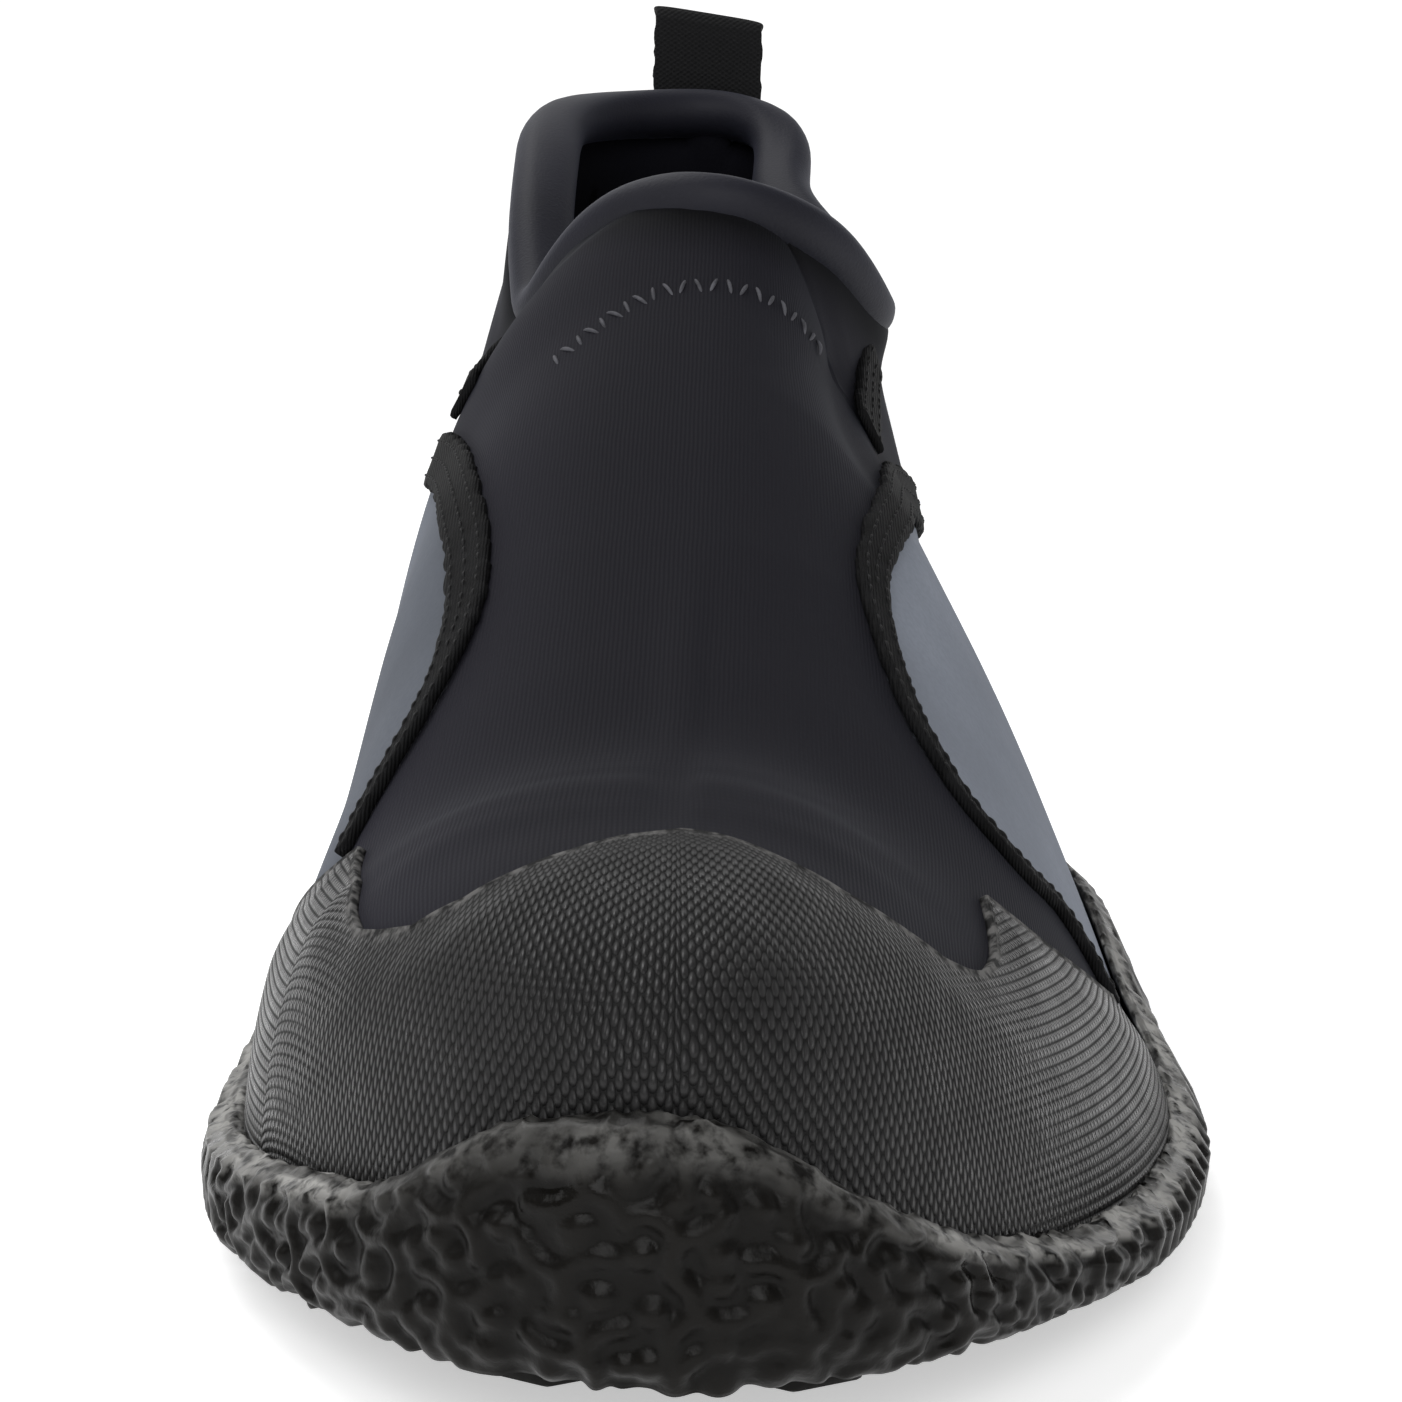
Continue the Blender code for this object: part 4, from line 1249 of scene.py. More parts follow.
# Toe cap
CAP_CENTRE = (-5.0, 92.0)
CAP_TURN = (-84.0, 84.0)
CAP_COLUMNS = 420
CAP_FACE_ROWS = 80
CAP_EDGE_SHARE = 0.42
CAP_FACE_REACH = 40.0
CAP_EDGE_SLOPE = 7.0
CAP_EDGE_WIDTH = 0.9
CAP_EDGE_STANDOUT = 0.35
CAP_SEATING = 0.2 * GAP
PLAIN_TURN = 0.5
PLAIN_REACH = 8.0
FLANK_START = 0.32
FLANK_FADE = 0.4
FLANK_BOOST = 1.0
ROPE_ROW = 0.95
CAP_BACK_ROWS = 14
CAP_PROFILE_POINTS = 150
CAP_EDGE_ROUND = ((0.55, 1.0), (0.15, 0.75), (0.0, 0.3), (0.0, 0.0))
TEAR_WIDTH = 0.72
TEAR_HEIGHT = 1.55
TEAR_TAPER = 0.3


def lift_across(y, x, side):
    """How far up the arch the skin is at a distance x across the foot, found by halving."""
    low, high = np.zeros(np.shape(y)), np.ones(np.shape(y))
    for _ in range(34):
        middle = 0.5 * (low + high)
        outside = side * (skin(y, middle, side)[..., 0] - x) > 0
        low, high = np.where(outside, middle, low), np.where(outside, high, middle)
    return 0.5 * (low + high)


def cap_rays():
    """Skin under the toe cap along rays seen from above: turns, sides, and points from the feather up."""
    turns = np.radians(np.linspace(*CAP_TURN, CAP_COLUMNS))
    fine = UPPER_TOE + (CAP_CENTRE[1] - 0.5 - UPPER_TOE) * np.linspace(0.0, 1.0, 4000) ** 3
    side = np.where(turns < 0, MEDIAL, LATERAL)[:, None]
    start = []
    for turn, on_side in zip(np.abs(turns), side[:, 0]):
        outline = skin(fine, 0.0, on_side)
        seen = np.abs(np.arctan2(outline[:, 0] - CAP_CENTRE[0], CAP_CENTRE[1] - outline[:, 1]))
        start.append(float(np.interp(turn, seen, fine)) if turn > seen.min() else UPPER_TOE)
    start = np.array(start)[:, None]
    share = np.linspace(0.0, 1.0, CAP_PROFILE_POINTS) ** 2.2
    y = start + (CAP_CENTRE[1] - 1.0 - start) * share
    x = CAP_CENTRE[0] + np.tan(turns)[:, None] * (CAP_CENTRE[1] - y)
    return turns, side, skin(y, lift_across(y, x, side), side)


def cap_edge_radius(turns):
    """Distance of the cap's edge from the rays' centre."""
    dx, dy = CAP_EDGE["x"] - CAP_CENTRE[0], CAP_CENTRE[1] - CAP_EDGE["y"]
    return np.interp(turns, np.arctan2(dx, dy), np.hypot(dx, dy))


def make_cap_mesh():
    """The toe cap as a thin shell over the skin, with places for its relief, a rounded edge and a plain
    back.
    """
    turns, side, profiles = cap_rays()
    edge_radius = cap_edge_radius(turns)
    face, places = [], []
    outline = profiles[:, 0]
    rim_run = travelled(outline)
    rim_run -= np.interp(0.0, turns, rim_run)
    for k in range(len(turns)):
        points = profiles[k]
        run = travelled(points)
        radius = np.hypot(points[:, 0] - CAP_CENTRE[0], points[:, 1] - CAP_CENTRE[1])
        foot_height = max(float(rim_height(points[0, 1], side[k, 0])) - CAP_TUCK, points[0, 2] + 0.8)
        foot = np.interp(foot_height, points[:, 2], run)
        head = max(np.interp(-edge_radius[k], -radius, run), foot + 1.0)
        at = np.linspace(foot, head, CAP_FACE_ROWS)
        face.append(along_path(at, run, points))
        places.append(at)
    face, places = np.array(face), np.array(places)
    normals = unit(np.cross(np.gradient(face, axis=1), np.gradient(face, axis=0)))
    normals = softened_normals(normals)
    if np.sum(normals[..., 1]) > 0:
        normals = -normals
    head = places[:, -1:]
    from_edge = np.minimum(head - places, CAP_FACE_REACH)
    around = rim_run[:, None] + 0 * places
    middle = np.exp(-((turns[:, None] / PLAIN_TURN) ** 2)) * np.exp(-((from_edge / PLAIN_REACH) ** 2))
    flank = eased((np.abs(turns[:, None]) - FLANK_START) / FLANK_FADE) + 0 * places
    margin = eased((from_edge - 0.3) / 0.6) * (1.0 - 0.5 * middle) * (1.0 + FLANK_BOOST * flank)
    rise = eased(from_edge / CAP_EDGE_SLOPE)
    thick = CAP_THICKNESS * (CAP_EDGE_SHARE + (1.0 - CAP_EDGE_SHARE) * rise)
    lifted = face + normals * (GAP + thick)[..., None]
    last, out = face[:, -1:], normals[:, -1:]
    backward = unit(np.gradient(face, axis=1)[:, -1:])
    rows = [lifted]
    brim = CAP_THICKNESS * CAP_EDGE_SHARE
    for reach, share in CAP_EDGE_ROUND:
        standing = out * (CAP_SEATING + (brim + GAP) * share)
        rows.append(last + standing + backward * CAP_EDGE_STANDOUT * (1.0 - reach))
    back = np.linspace(CAP_FACE_ROWS - 1, 0, CAP_BACK_ROWS).round().astype(int)
    rows.append(face[:, back] + normals[:, back] * CAP_SEATING)
    rows.append(lifted[:, :1])
    points = np.concatenate(rows, axis=1)
    facts = {
        "lattice": np.stack((around * MM, places * MM, margin), axis=-1),
        "edge": np.exp(-((from_edge / CAP_EDGE_WIDTH) ** 2)),
        "flank": flank,
    }
    extra = points.shape[1] - CAP_FACE_ROWS
    for fact, values in facts.items():
        beyond = ((0, 0), (0, extra), (0, 0))[: values.ndim]
        facts[fact] = np.pad(values, beyond, mode="edge")
    return shaped_grid("toe_cap_skin", points, facts, fill=True, merge=0.004)


def softened_normals(normals, rounds=6):
    """Normals evened out over their neighbours."""
    for _ in range(rounds):
        padded = np.pad(normals, ((1, 1), (1, 1), (0, 0)), mode="edge")
        normals = unit(
            2 * normals + padded[:-2, 1:-1] + padded[2:, 1:-1] + padded[1:-1, :-2] + padded[1:-1, 2:]
        )
    return normals


def tear_height(finish, u, v):
    """Rows of upright tear drops, from 0 to 1 high, each row half a pitch beside the last."""
    pitch, row_pitch = sizes().lattice_pitch, sizes().lattice_row
    across = finish.sums("DIVIDE", u, pitch)
    up = finish.sums("DIVIDE", v, row_pitch)
    base = finish.sums("FLOOR", up)
    within = finish.sums("SUBTRACT", up, base)
    rows_high = row_pitch / (TEAR_HEIGHT * MM)
    best = None
    for step in (-1, 0, 1):
        row = finish.sums("ADD", base, float(step))
        shift = finish.product(finish.sums("FLOORED_MODULO", row, 2.0), 0.5)
        aside = finish.sums("SUBTRACT", finish.sums("FRACT", finish.sums("ADD", across, shift)), 0.5)
        rise = finish.sums("SUBTRACT", within, 0.5 + step)
        taper = finish.sums("SUBTRACT", 1.0, finish.product(rise, TEAR_TAPER * rows_high))
        wide = finish.sums("DIVIDE", finish.product(aside, 2 * pitch / (TEAR_WIDTH * MM)), taper)
        tall = finish.product(rise, 2 * rows_high)
        away = finish.sums("ADD", finish.product(wide, wide), finish.product(tall, tall))
        inside = finish.sums("MAXIMUM", finish.sums("SUBTRACT", 1.0, away), 0.0)
        tilt = finish.sums("SUBTRACT", 0.85, finish.product(rise, 0.22))
        drop = finish.product(finish.sums("POWER", inside, 0.7), tilt)
        best = drop if best is None else finish.sums("MAXIMUM", best, drop)
    return best


def cap_finish():
    """Dark grey rubber with a lattice of small tear drops, painted shade between them and painted light on
    their tops, and paler along the cut edge.
    """
    color = colors()
    finish = Finish("textured_rubber", color.cap, 0.4)
    finish.set("Specular IOR Level", 0.2)
    around, up, margin = finish.parts(finish.fact("lattice", "Vector"))
    drops = tear_height(finish, around, up)
    ropes = finish.sums("POWER", finish.ramp(finish.wave(up, ROPE_ROW * MM), -1.0, 1.0), 0.7)
    ropes = finish.product(ropes, finish.ramp(drops, 0.0, 0.8, 0.6, 1.0))
    drops = finish.product(finish.blend(finish.fact("flank"), drops, ropes), margin)
    # Painted shade between the drops and unevenly bright painted light on their tops
    painted_light_speckle = finish.ramp(finish.speckle(120.0, 4.0), 0.35, 0.7)
    top = finish.shades(painted_light_speckle, color.cap, 1.4, 1.9)
    shade = finish.mix(finish.ramp(drops, 0.1, 0.75), scaled(color.cap, 0.3), top)
    nick = finish.ramp(finish.speckle(700.0, 3.0), 0.42, 0.6)
    line = finish.product(finish.product(finish.fact("edge"), nick), 0.6)
    finish.set("Base Color", finish.mix(line, shade, (0.2, 0.195, 0.19)))
    patchy = finish.ramp(finish.speckle(260.0, 3.0), 0.3, 0.7, -0.06, 0.06)
    finish.set("Roughness", finish.sums("ADD", finish.ramp(drops, 0.1, 0.8, 0.68, 0.3), patchy))
    fine = finish.bump(finish.speckle(1900.0, 3.0), 0.06, 0.5)
    finish.set("Normal", finish.bump(drops, sizes().lattice_height / MM, 1.0, fine))
    return finish.material


# Collar
CUFF_ROUND = 40
CUFF_COUNT = 420
LINE_EASING = 26
NORMAL_EASING = 90
ROLL_EASING = 40


def collar_line(count):
    """Evenly round the collar's edge: points, normals, and ways out of the upper's edge, all eased."""
    share = np.linspace(0.0, 1.0, 300)
    half = THROAT + (UPPER_HEEL - THROAT) * (0.5 - 0.5 * np.cos(math.pi * share))
    points, normals = [], []
    for along, side in ((half, LATERAL), (half[-2:0:-1], MEDIAL)):
        lift = collar_lift(along, side)
        edge = skin(along, lift, side)
        normal = np.cross(skin(along, lift - 0.03, side) - edge, skin(along - 1.5, lift, side) - edge)
        points.append(edge)
        normals.append(unit(normal * -side))
    around = np.concatenate((*points, points[0][:1]))
    facing = np.concatenate((*normals, normals[0][:1]))
    run = travelled(around)
    even = np.arange(count) * run[-1] / count
    points, normals = (along_path(even, run, values) for values in (around, facing))
    for _ in range(LINE_EASING):
        points = 0.5 * points + 0.25 * (np.roll(points, 1, axis=0) + np.roll(points, -1, axis=0))
    for _ in range(NORMAL_EASING):
        normals = unit(normals + 0.5 * (np.roll(normals, 1, axis=0) + np.roll(normals, -1, axis=0)))
    way = np.roll(points, -1, axis=0) - np.roll(points, 1, axis=0)
    return points, normals, unit(np.cross(normals, way))


def closed_curve(corners, count):
    """A smooth closed curve through some corners."""
    corners = np.array(corners)
    t = np.arange(count) * len(corners) / count
    i = t.astype(int)
    f = (t - i)[:, None]
    p0, p1, p2, p3 = (corners[(i + step) % len(corners)] for step in (-1, 0, 1, 2))
    square = (2 * p0 - 5 * p1 + 4 * p2 - p3) * f**2
    cube = (3 * p1 - p0 - 3 * p2 + p3) * f**3
    return 0.5 * (2 * p1 + (p2 - p0) * f + square + cube)


def make_cuff_mesh():
    """The rolled edge of the collar, a little uneven where it is sewn."""
    points, normals, outs = collar_line(CUFF_COUNT)
    section_points = closed_curve(CUFF_SECTION, CUFF_ROUND)
    run = travelled(points)
    swell = 1.0 + 0.03 * noise(run / 16.0, 0 * run, 31.0) * eased(np.minimum(run, run[-1] - run) / 12.0)
    middle = section_points.mean(axis=0)
    front = front_share(points[:, 1])
    grid = []
    for out, up in section_points:
        around = (out - middle[0]) * swell + middle[0] + ROLL_STANDOUT * front
        above = (up - middle[1]) * swell + middle[1]
        above = above * (1.0 - ROLL_FLATTENING * front) - ROLL_DROP * front
        grid.append(points + around[:, None] * normals + above[:, None] * outs)
    grid = np.array(grid)
    for _ in range(ROLL_EASING):
        grid = 0.5 * grid + 0.25 * (np.roll(grid, 1, axis=1) + np.roll(grid, -1, axis=1))
    grid = np.concatenate((grid, grid[:1]), axis=0)
    return shaped_grid("collar_roll", closed_round(grid))


def cuff_finish():
    color = colors()
    finish = Finish("navy_neoprene", color.cuff, 0.62, Sheen_Weight=0.05, Sheen_Roughness=0.45)
    finish.set("Specular IOR Level", 0.22)
    finish.set("Sheen Tint", (0.5, 0.55, 0.8, 1.0))
    soft = finish.ramp(finish.speckle(60.0, 3.0), 0.3, 0.7)
    finish.set("Base Color", finish.shades(soft, color.cuff, 0.85, 1.25))
    finish.set("Normal", finish.bump(finish.speckle(2400.0, 2.0), 0.1, 0.6))
    return finish.material


# Tapes and stitches
SEAM_STEP = 1.9
SEAM_SLANT = (0.42, -0.12)
SEAM_LENGTH = 3.2
STITCH_BEND = 0.55
# Rows of stitches: share of the tape's width, and shift in pitches
STITCH_ROWS = ((-0.33, 0.0), (0.0, 0.5), (0.33, 0.0))
STITCH_SHARE = 0.74
NARROW_TAPE = 4.0
TAPE_STEP = 0.9
HEEL_LAP = 1.0
TAPE_ACROSS = (
    (-0.50, -0.25),
    (-0.51, 0.45),
    (-0.47, 0.85),
    (-0.36, 1.0),
    (-0.12, 0.96),
    (0.12, 0.96),
    (0.36, 1.0),
    (0.47, 0.85),
    (0.51, 0.45),
    (0.50, -0.25),
)


def tape_line(name):
    """Along a tape: points on the skin, the way along, the way across, normals and widths."""
    side, rows = TAPES[name]
    path = table(TAPE_COLUMNS, rows)
    knots = travelled(np.stack((path["along"], path["height"]), axis=1))
    places = np.linspace(0.0, knots[-1], 3000)
    fine = [smooth(places, knots, path[column]) for column in TAPE_COLUMNS]
    run = travelled(on_upper(fine[0], fine[1], side))
    even = np.linspace(0.0, run[-1], int(run[-1] / TAPE_STEP) + 2)
    y, z, width = (np.interp(even, run, values) for values in fine)
    middle = on_upper(y, z, side)
    ahead, behind = (
        on_upper(np.clip(y + step, UPPER_TOE, UPPER_HEEL - 0.004), z, side) for step in (0.5, -0.5)
    )
    normal = np.cross(ahead - behind, on_upper(y, z + 0.5, side) - on_upper(y, z - 0.5, side))
    normal = unit(normal) * side
    way = unit(np.gradient(middle, axis=0))
    if y[-1] > UPPER_HEEL - 1.0:
        middle[-1] += HEEL_LAP * way[-1]
    return middle, way, unit(np.cross(normal, way)), normal, width


def make_tape_mesh(name):
    """A tape laid on the skin, with knobbly edges."""
    middle, _, across, normal, width = tape_line(name)
    run = travelled(middle)
    left, right = (1.0 + 0.10 * noise(run / 1.1, 0 * run, seed) for seed in (41.0, 43.0))
    columns = []
    for share, thick in TAPE_ACROSS:
        edge = left if share < 0 else right
        aside = (share * width * edge)[:, None] * across
        columns.append(middle + aside + (GAP + thick * TAPE_THICKNESS) * normal)
    columns.append(columns[0])
    return shaped_grid(name + "_strip", np.stack(columns, axis=1), fill=True)


def sew(name, stitches):
    """Stitches joined as one piece; each has a middle, a way, a normal, a length and a thickness."""
    deselect_all()
    bpy.ops.mesh.primitive_uv_sphere_add(
        segments=6, ring_count=7, radius=0.5, rotation=(0.0, math.pi / 2, 0.0)
    )
    first = bpy.context.object
    bpy.ops.object.transform_apply(rotation=True)
    unit_points = np.array([vertex.co for vertex in first.data.vertices])
    made = []
    for middle, way, normal, length, thick in stitches:
        side_way = np.cross(normal, way)
        drop = STITCH_BEND * thick * (2 * unit_points[:, :1]) ** 2
        points = (
            middle
            + unit_points[:, :1] * length * way
            + unit_points[:, 1:2] * thick * side_way
            + (unit_points[:, 2:] * thick - drop) * normal
        )
        copy = first.copy()
        copy.data = first.data.copy()
        copy.data.vertices.foreach_set("co", on_stage(points).astype(np.float32).ravel())
        bpy.context.scene.collection.objects.link(copy)
        made.append(copy)
    bpy.data.objects.remove(first)
    joined = join_pieces(name, made)
    bpy.ops.object.shade_smooth()
    return joined


def tape_stitches(name):
    """Two or three rows of stitches along a tape."""
    middle, way, across, normal, width = tape_line(name)
    run = travelled(middle)
    pitch, thread = sizes().stitch_pitch / MM, sizes().thread / MM
    stitches = []
    for share, shift in STITCH_ROWS:
        for at in np.arange(pitch * (0.6 + shift), run[-1] - pitch, pitch):
            k = int(np.searchsorted(run, at))
            if share == 0.0 and width[k] < NARROW_TAPE:
                continue
            place = middle[k] + share * width[k] * across[k] + (GAP + 1.03 * TAPE_THICKNESS) * normal[k]
            stitches.append((place, way[k], normal[k], STITCH_SHARE * pitch, thread))
    return stitches


def seam_line(count):
    """Along the collar's seam: points on the skin, the way along and normals."""
    path = table(COLLAR_SEAM_COLUMNS, COLLAR_SEAM_ROWS)
    knots = travelled(np.stack((path["x"], path["y"]), axis=1))
    places = np.linspace(0.0, knots[-1], count)
    x, y = (smooth(places, knots, path[column]) for column in COLLAR_SEAM_COLUMNS)
    side = np.where(x < section("axis", y), MEDIAL, LATERAL)

    def on_top(x, y):
        return skin(y, lift_across(y, x, side), side)

    points = on_top(x, y)
    across = on_top(x + 1.5, y) - on_top(x - 1.5, y)
    along = on_top(x, y + 1.0) - on_top(x, y - 1.0)
    return points, unit(np.gradient(points, axis=0)), unit(np.cross(across, along))


def collar_stitches():
    """Slanted stitches over the vamp below the collar, leaning to and fro."""
    thread = 1.5 * sizes().thread / MM
    points, way, normals = seam_line(400)
    run = travelled(points)
    stitches = []
    for count, at in enumerate(np.arange(1.0, run[-1], SEAM_STEP)):
        k = int(np.searchsorted(run, at))
        lean = unit(np.cross(normals[k], way[k]) + SEAM_SLANT[count % 2] * way[k])
        stitches.append((points[k] + 0.14 * normals[k], lean, normals[k], SEAM_LENGTH, thread))
    return stitches


def tape_finish():
    """Black tape with a fine weave."""
    finish = Finish("black_tape", colors().tape, 0.75)
    finish.set("Specular IOR Level", 0.09)
    inputs = {"Vector": finish.place(), "Scale": 900.0, "Distortion": 2.0, "Detail": 1.0}
    weave = finish.node("TexWave", inputs)
    fibre = finish.speckle(1800.0, 3.0)
    finish.set("Normal", finish.bump(finish.sums("ADD", weave, fibre), 0.12, 0.7))
    shade = finish.ramp(finish.speckle(300.0, 3.0), 0.3, 0.7)
    finish.set("Base Color", finish.shades(shade, colors().tape, 0.7, 1.7))
    return finish.material


def thread_finish(name, color):
    finish = Finish(name, color, 0.65)
    finish.set("Specular IOR Level", 0.2)
    finish.set("Normal", finish.bump(finish.speckle(3500.0, 2.0), 0.06, 0.6))
    shade = finish.ramp(finish.speckle(500.0, 2.0), 0.3, 0.7)
    finish.set("Base Color", finish.shades(shade, color, 0.6, 1.3))
    return finish.material


# Pull loop
LOOP_STEP = 0.55
LOOP_ACROSS = 36
WEAVE_PITCH = 1.5
LOOP_TILT = 0.13
LOOP_TILT_RISE = 20.0
LOOP_ROUNDNESS = 0.45
LOOP_SEAM_REACH = 7.0
LOOP_SEAM_STEP = 2.0
LOOP_SEAM_LENGTH = 1.6


def loop_face(z):
    """The near face of the webbing, which leans away from the heel above its bend."""
    return heel_line(z) + GAP + LOOP_STANDOFF * eased((z - LOOP_BEND) / LOOP_BEND_LENGTH)


def loop_path():
    """Middle of the webbing from the side: up the near layer, over the fold and down the far layer."""
    z = np.linspace(LOOP_FOOT, LOOP_SHOULDER, 40)
    near = loop_face(z) + 0.5 * LOOP_WEBBING
    far = near + LOOP_WEBBING + LOOP_OPEN * eased((z - LOOP_PARTING) / LOOP_SPREAD)
    radius = 0.5 * (far[-1] - near[-1])
    top = LOOP_TOP - 0.5 * LOOP_WEBBING - radius
    turn = np.linspace(math.pi, 0.0, 24)
    arc = np.stack((near[-1] + radius + radius * np.cos(turn), top + radius * np.sin(turn)), axis=1)
    rise = np.stack((near, z), axis=1)
    fall = np.stack((far, z), axis=1)[::-1]
    path = np.concatenate((rise, arc, fall))
    run = travelled(path)
    even = np.linspace(0.0, run[-1], int(run[-1] / LOOP_STEP))
    return along_path(even, run, path)


def make_loop_mesh():
    """Woven webbing with ribs across it and knobbly edges, folded into the loop."""
    path = loop_path()
    run = travelled(path)
    way = unit(np.gradient(path, axis=0))
    out = np.stack((way[:, 1], -way[:, 0]), axis=1)
    turn = np.linspace(0.0, 2 * math.pi, LOOP_ACROSS + 1)
    flat, thick = (np.sign(v) * np.abs(v) ** LOOP_ROUNDNESS for v in (np.cos(turn), np.sin(turn)))
    ribs = 0.10 * np.sin(2 * math.pi * run / WEAVE_PITCH)
    edge = 0.5 * LOOP_WIDTH - 0.35 + 0.30 * noise(run / 1.2, 0 * run, 51.0)
    columns = []
    for f, t in zip(flat, thick):
        level = t * (0.5 * LOOP_WEBBING - 0.1 + ribs)
        columns.append(np.column_stack((LOOP_X + f * edge, path + level[:, None] * out)))
    grid = np.stack(columns, axis=1)
    from_edge = grid[..., 0] - LOOP_X + 0.5 * LOOP_WIDTH
    grid[..., 2] -= LOOP_TILT * from_edge * eased((grid[..., 2] - LOOP_PARTING) / LOOP_TILT_RISE)
    return shaped_grid("webbing_loop", grid, fill=True, merge=0.002)


def loop_stitches():
    """Two rows of stitches across the webbing where it is sewn to the heel."""
    thread = sizes().thread / MM
    stitches = []
    way, normal = np.array((1.0, 0.0, 0.0)), np.array((0.0, 1.0, 0.0))
    for z in LOOP_SEAMS:
        y = float(loop_face(z) + 2 * LOOP_WEBBING) + 0.05
        for x in np.arange(LOOP_X - LOOP_SEAM_REACH, LOOP_X + LOOP_SEAM_REACH + 0.1, LOOP_SEAM_STEP):
            stitches.append((np.array((x, y, z)), way, normal, LOOP_SEAM_LENGTH, thread))
    return stitches


def webbing_finish():
    color = colors().tape
    finish = Finish("black_webbing", color, 0.8)
    finish.set("Specular IOR Level", 0.12)
    across, _, up = finish.parts(finish.place())
    warp, weft = finish.wave(across, 1.1 * MM), finish.wave(up, 0.75 * MM)
    weave = finish.ramp(finish.product(warp, weft), -1.0, 1.0)
    finish.set("Normal", finish.bump(weave, 0.22, 0.8))
    finish.set("Base Color", finish.shades(weave, color, 0.8, 2.1))
    return finish.material


# Insole
INSOLE_ROWS = 150
INSOLE_ACROSS = 40
INSOLE_ENDS = (0.045, 0.955)
INSOLE_CUP = 1.2
INSOLE_DISH = 0.5


def make_insole_mesh():
    """The footbed: a foam pad with a raised edge, closed underneath."""
    turn = math.pi * np.linspace(*INSOLE_ENDS, INSOLE_ROWS)
    y = UPPER_TOE + (UPPER_HEEL - UPPER_TOE) * (0.5 - 0.5 * np.cos(turn))
    floor = feather(y) - FLOOR_DROP + INSOLE_LIFT
    edges = []
    for side in (MEDIAL, LATERAL):
        outline = skin(y, 0.0, side)
        step = np.gradient(outline[:, :2], axis=0)
        inward = unit(np.stack((step[:, 1], -step[:, 0]), axis=1)) * -side
        edges.append(outline[:, :2] + INSOLE_INSET * inward)
    share = np.linspace(0.0, 1.0, INSOLE_ACROSS)[:, None, None]
    plan = edges[0] + (edges[1] - edges[0]) * share
    cup = np.abs(2 * share[..., 0] - 1.0) ** 4 * INSOLE_CUP
    high = floor + INSOLE_THICKNESS - INSOLE_DISH + cup
    top = np.concatenate((plan, high[..., None]), axis=2)
    low = np.broadcast_to(floor, high.shape)
    bottom = np.concatenate((plan, low[..., None]), axis=2)[::-1]
    grid = np.concatenate((top, bottom, top[:1]), axis=0)
    return shaped_grid("footbed", grid, fill=True)


def footbed_finish():
    finish = Finish("grey_foam_cloth", (0.03, 0.031, 0.035), 0.92)
    finish.set("Specular IOR Level", 0.15)
    weave = finish.node("TexVoronoi", {"Vector": finish.place(), "Scale": 900.0})
    finish.set("Normal", finish.bump(weave, 0.2, 0.7))
    shade = finish.ramp(finish.speckle(90.0, 3.0), 0.3, 0.7)
    finish.set("Base Color", finish.mix(shade, (0.024, 0.025, 0.029), (0.036, 0.037, 0.042)))
    return finish.material


class BOOT_OT_upper(bpy.types.Operator):
    """Model the hollow neoprene upper with its creases and panels"""

    bl_idname = "reef_boot.upper"
    bl_label = "Upper"

    def execute(self, context):
        dress(make_upper_mesh(), [], "upper")
        return {"FINISHED"}


class BOOT_OT_outsole(bpy.types.Operator):
    """Model the rubber outsole with its lumpy wall and its lugs"""

    bl_idname = "reef_boot.outsole"
    bl_label = "Outsole"

    def execute(self, context):
        rubber = rubber_finish()
        dress(make_outsole_mesh(), [rubber], "outsole")
        dress(make_lugs(), [rubber])
        return {"FINISHED"}


class BOOT_OT_toe_cap(bpy.types.Operator):
    """Model the textured rubber cap round the toe"""

    bl_idname = "reef_boot.toe_cap"
    bl_label = "Toe Cap"

    def execute(self, context):
        dress(make_cap_mesh(), [cap_finish()], "toe_cap")
        return {"FINISHED"}


class BOOT_OT_collar(bpy.types.Operator):
    """Model the rolled collar and the stitches below it"""

    bl_idname = "reef_boot.collar"
    bl_label = "Collar"

    def execute(self, context):
        dress(make_cuff_mesh(), [cuff_finish()], "collar_cuff")
        thread = thread_finish("grey_thread", (0.07, 0.07, 0.08))
        dress(sew("collar_seam", collar_stitches()), [thread])
        return {"FINISHED"}


class BOOT_OT_tapes(bpy.types.Operator):
    """Model the four seam tapes and their stitches"""

    bl_idname = "reef_boot.tapes"
    bl_label = "Seam Tapes"

    def execute(self, context):
        tape = tape_finish()
        thread = thread_finish("black_thread", (0.006, 0.006, 0.0065))
        for name in TAPES:
            dress(make_tape_mesh(name), [tape], name)
            dress(sew(name + "_stitches", tape_stitches(name)), [thread])
        return {"FINISHED"}


class BOOT_OT_pull_loop(bpy.types.Operator):
    """Model the webbing loop behind the heel"""

    bl_idname = "reef_boot.pull_loop"
    bl_label = "Pull Loop"

    def execute(self, context):
        dress(make_loop_mesh(), [webbing_finish()], "pull_loop")
        thread = thread_finish("loop_thread", (0.02, 0.02, 0.022))
        dress(sew("loop_stitches", loop_stitches()), [thread])
        return {"FINISHED"}


class BOOT_OT_insole(bpy.types.Operator):
    """Model the foam footbed"""

    bl_idname = "reef_boot.insole"
    bl_label = "Insole"

    def execute(self, context):
        footbed = dress(make_insole_mesh(), [footbed_finish()], "insole")
        return {"FINISHED"}


# Stage
SKY_BASE = 0.1
SKY_BACK = 1.0
SKY_SIDES = 0.16
SUN_TILT = (math.radians(-24.0), math.radians(-22.0), 0.0)
SUN_POWER = 1.15
SUN_SPREAD = math.radians(35.0)
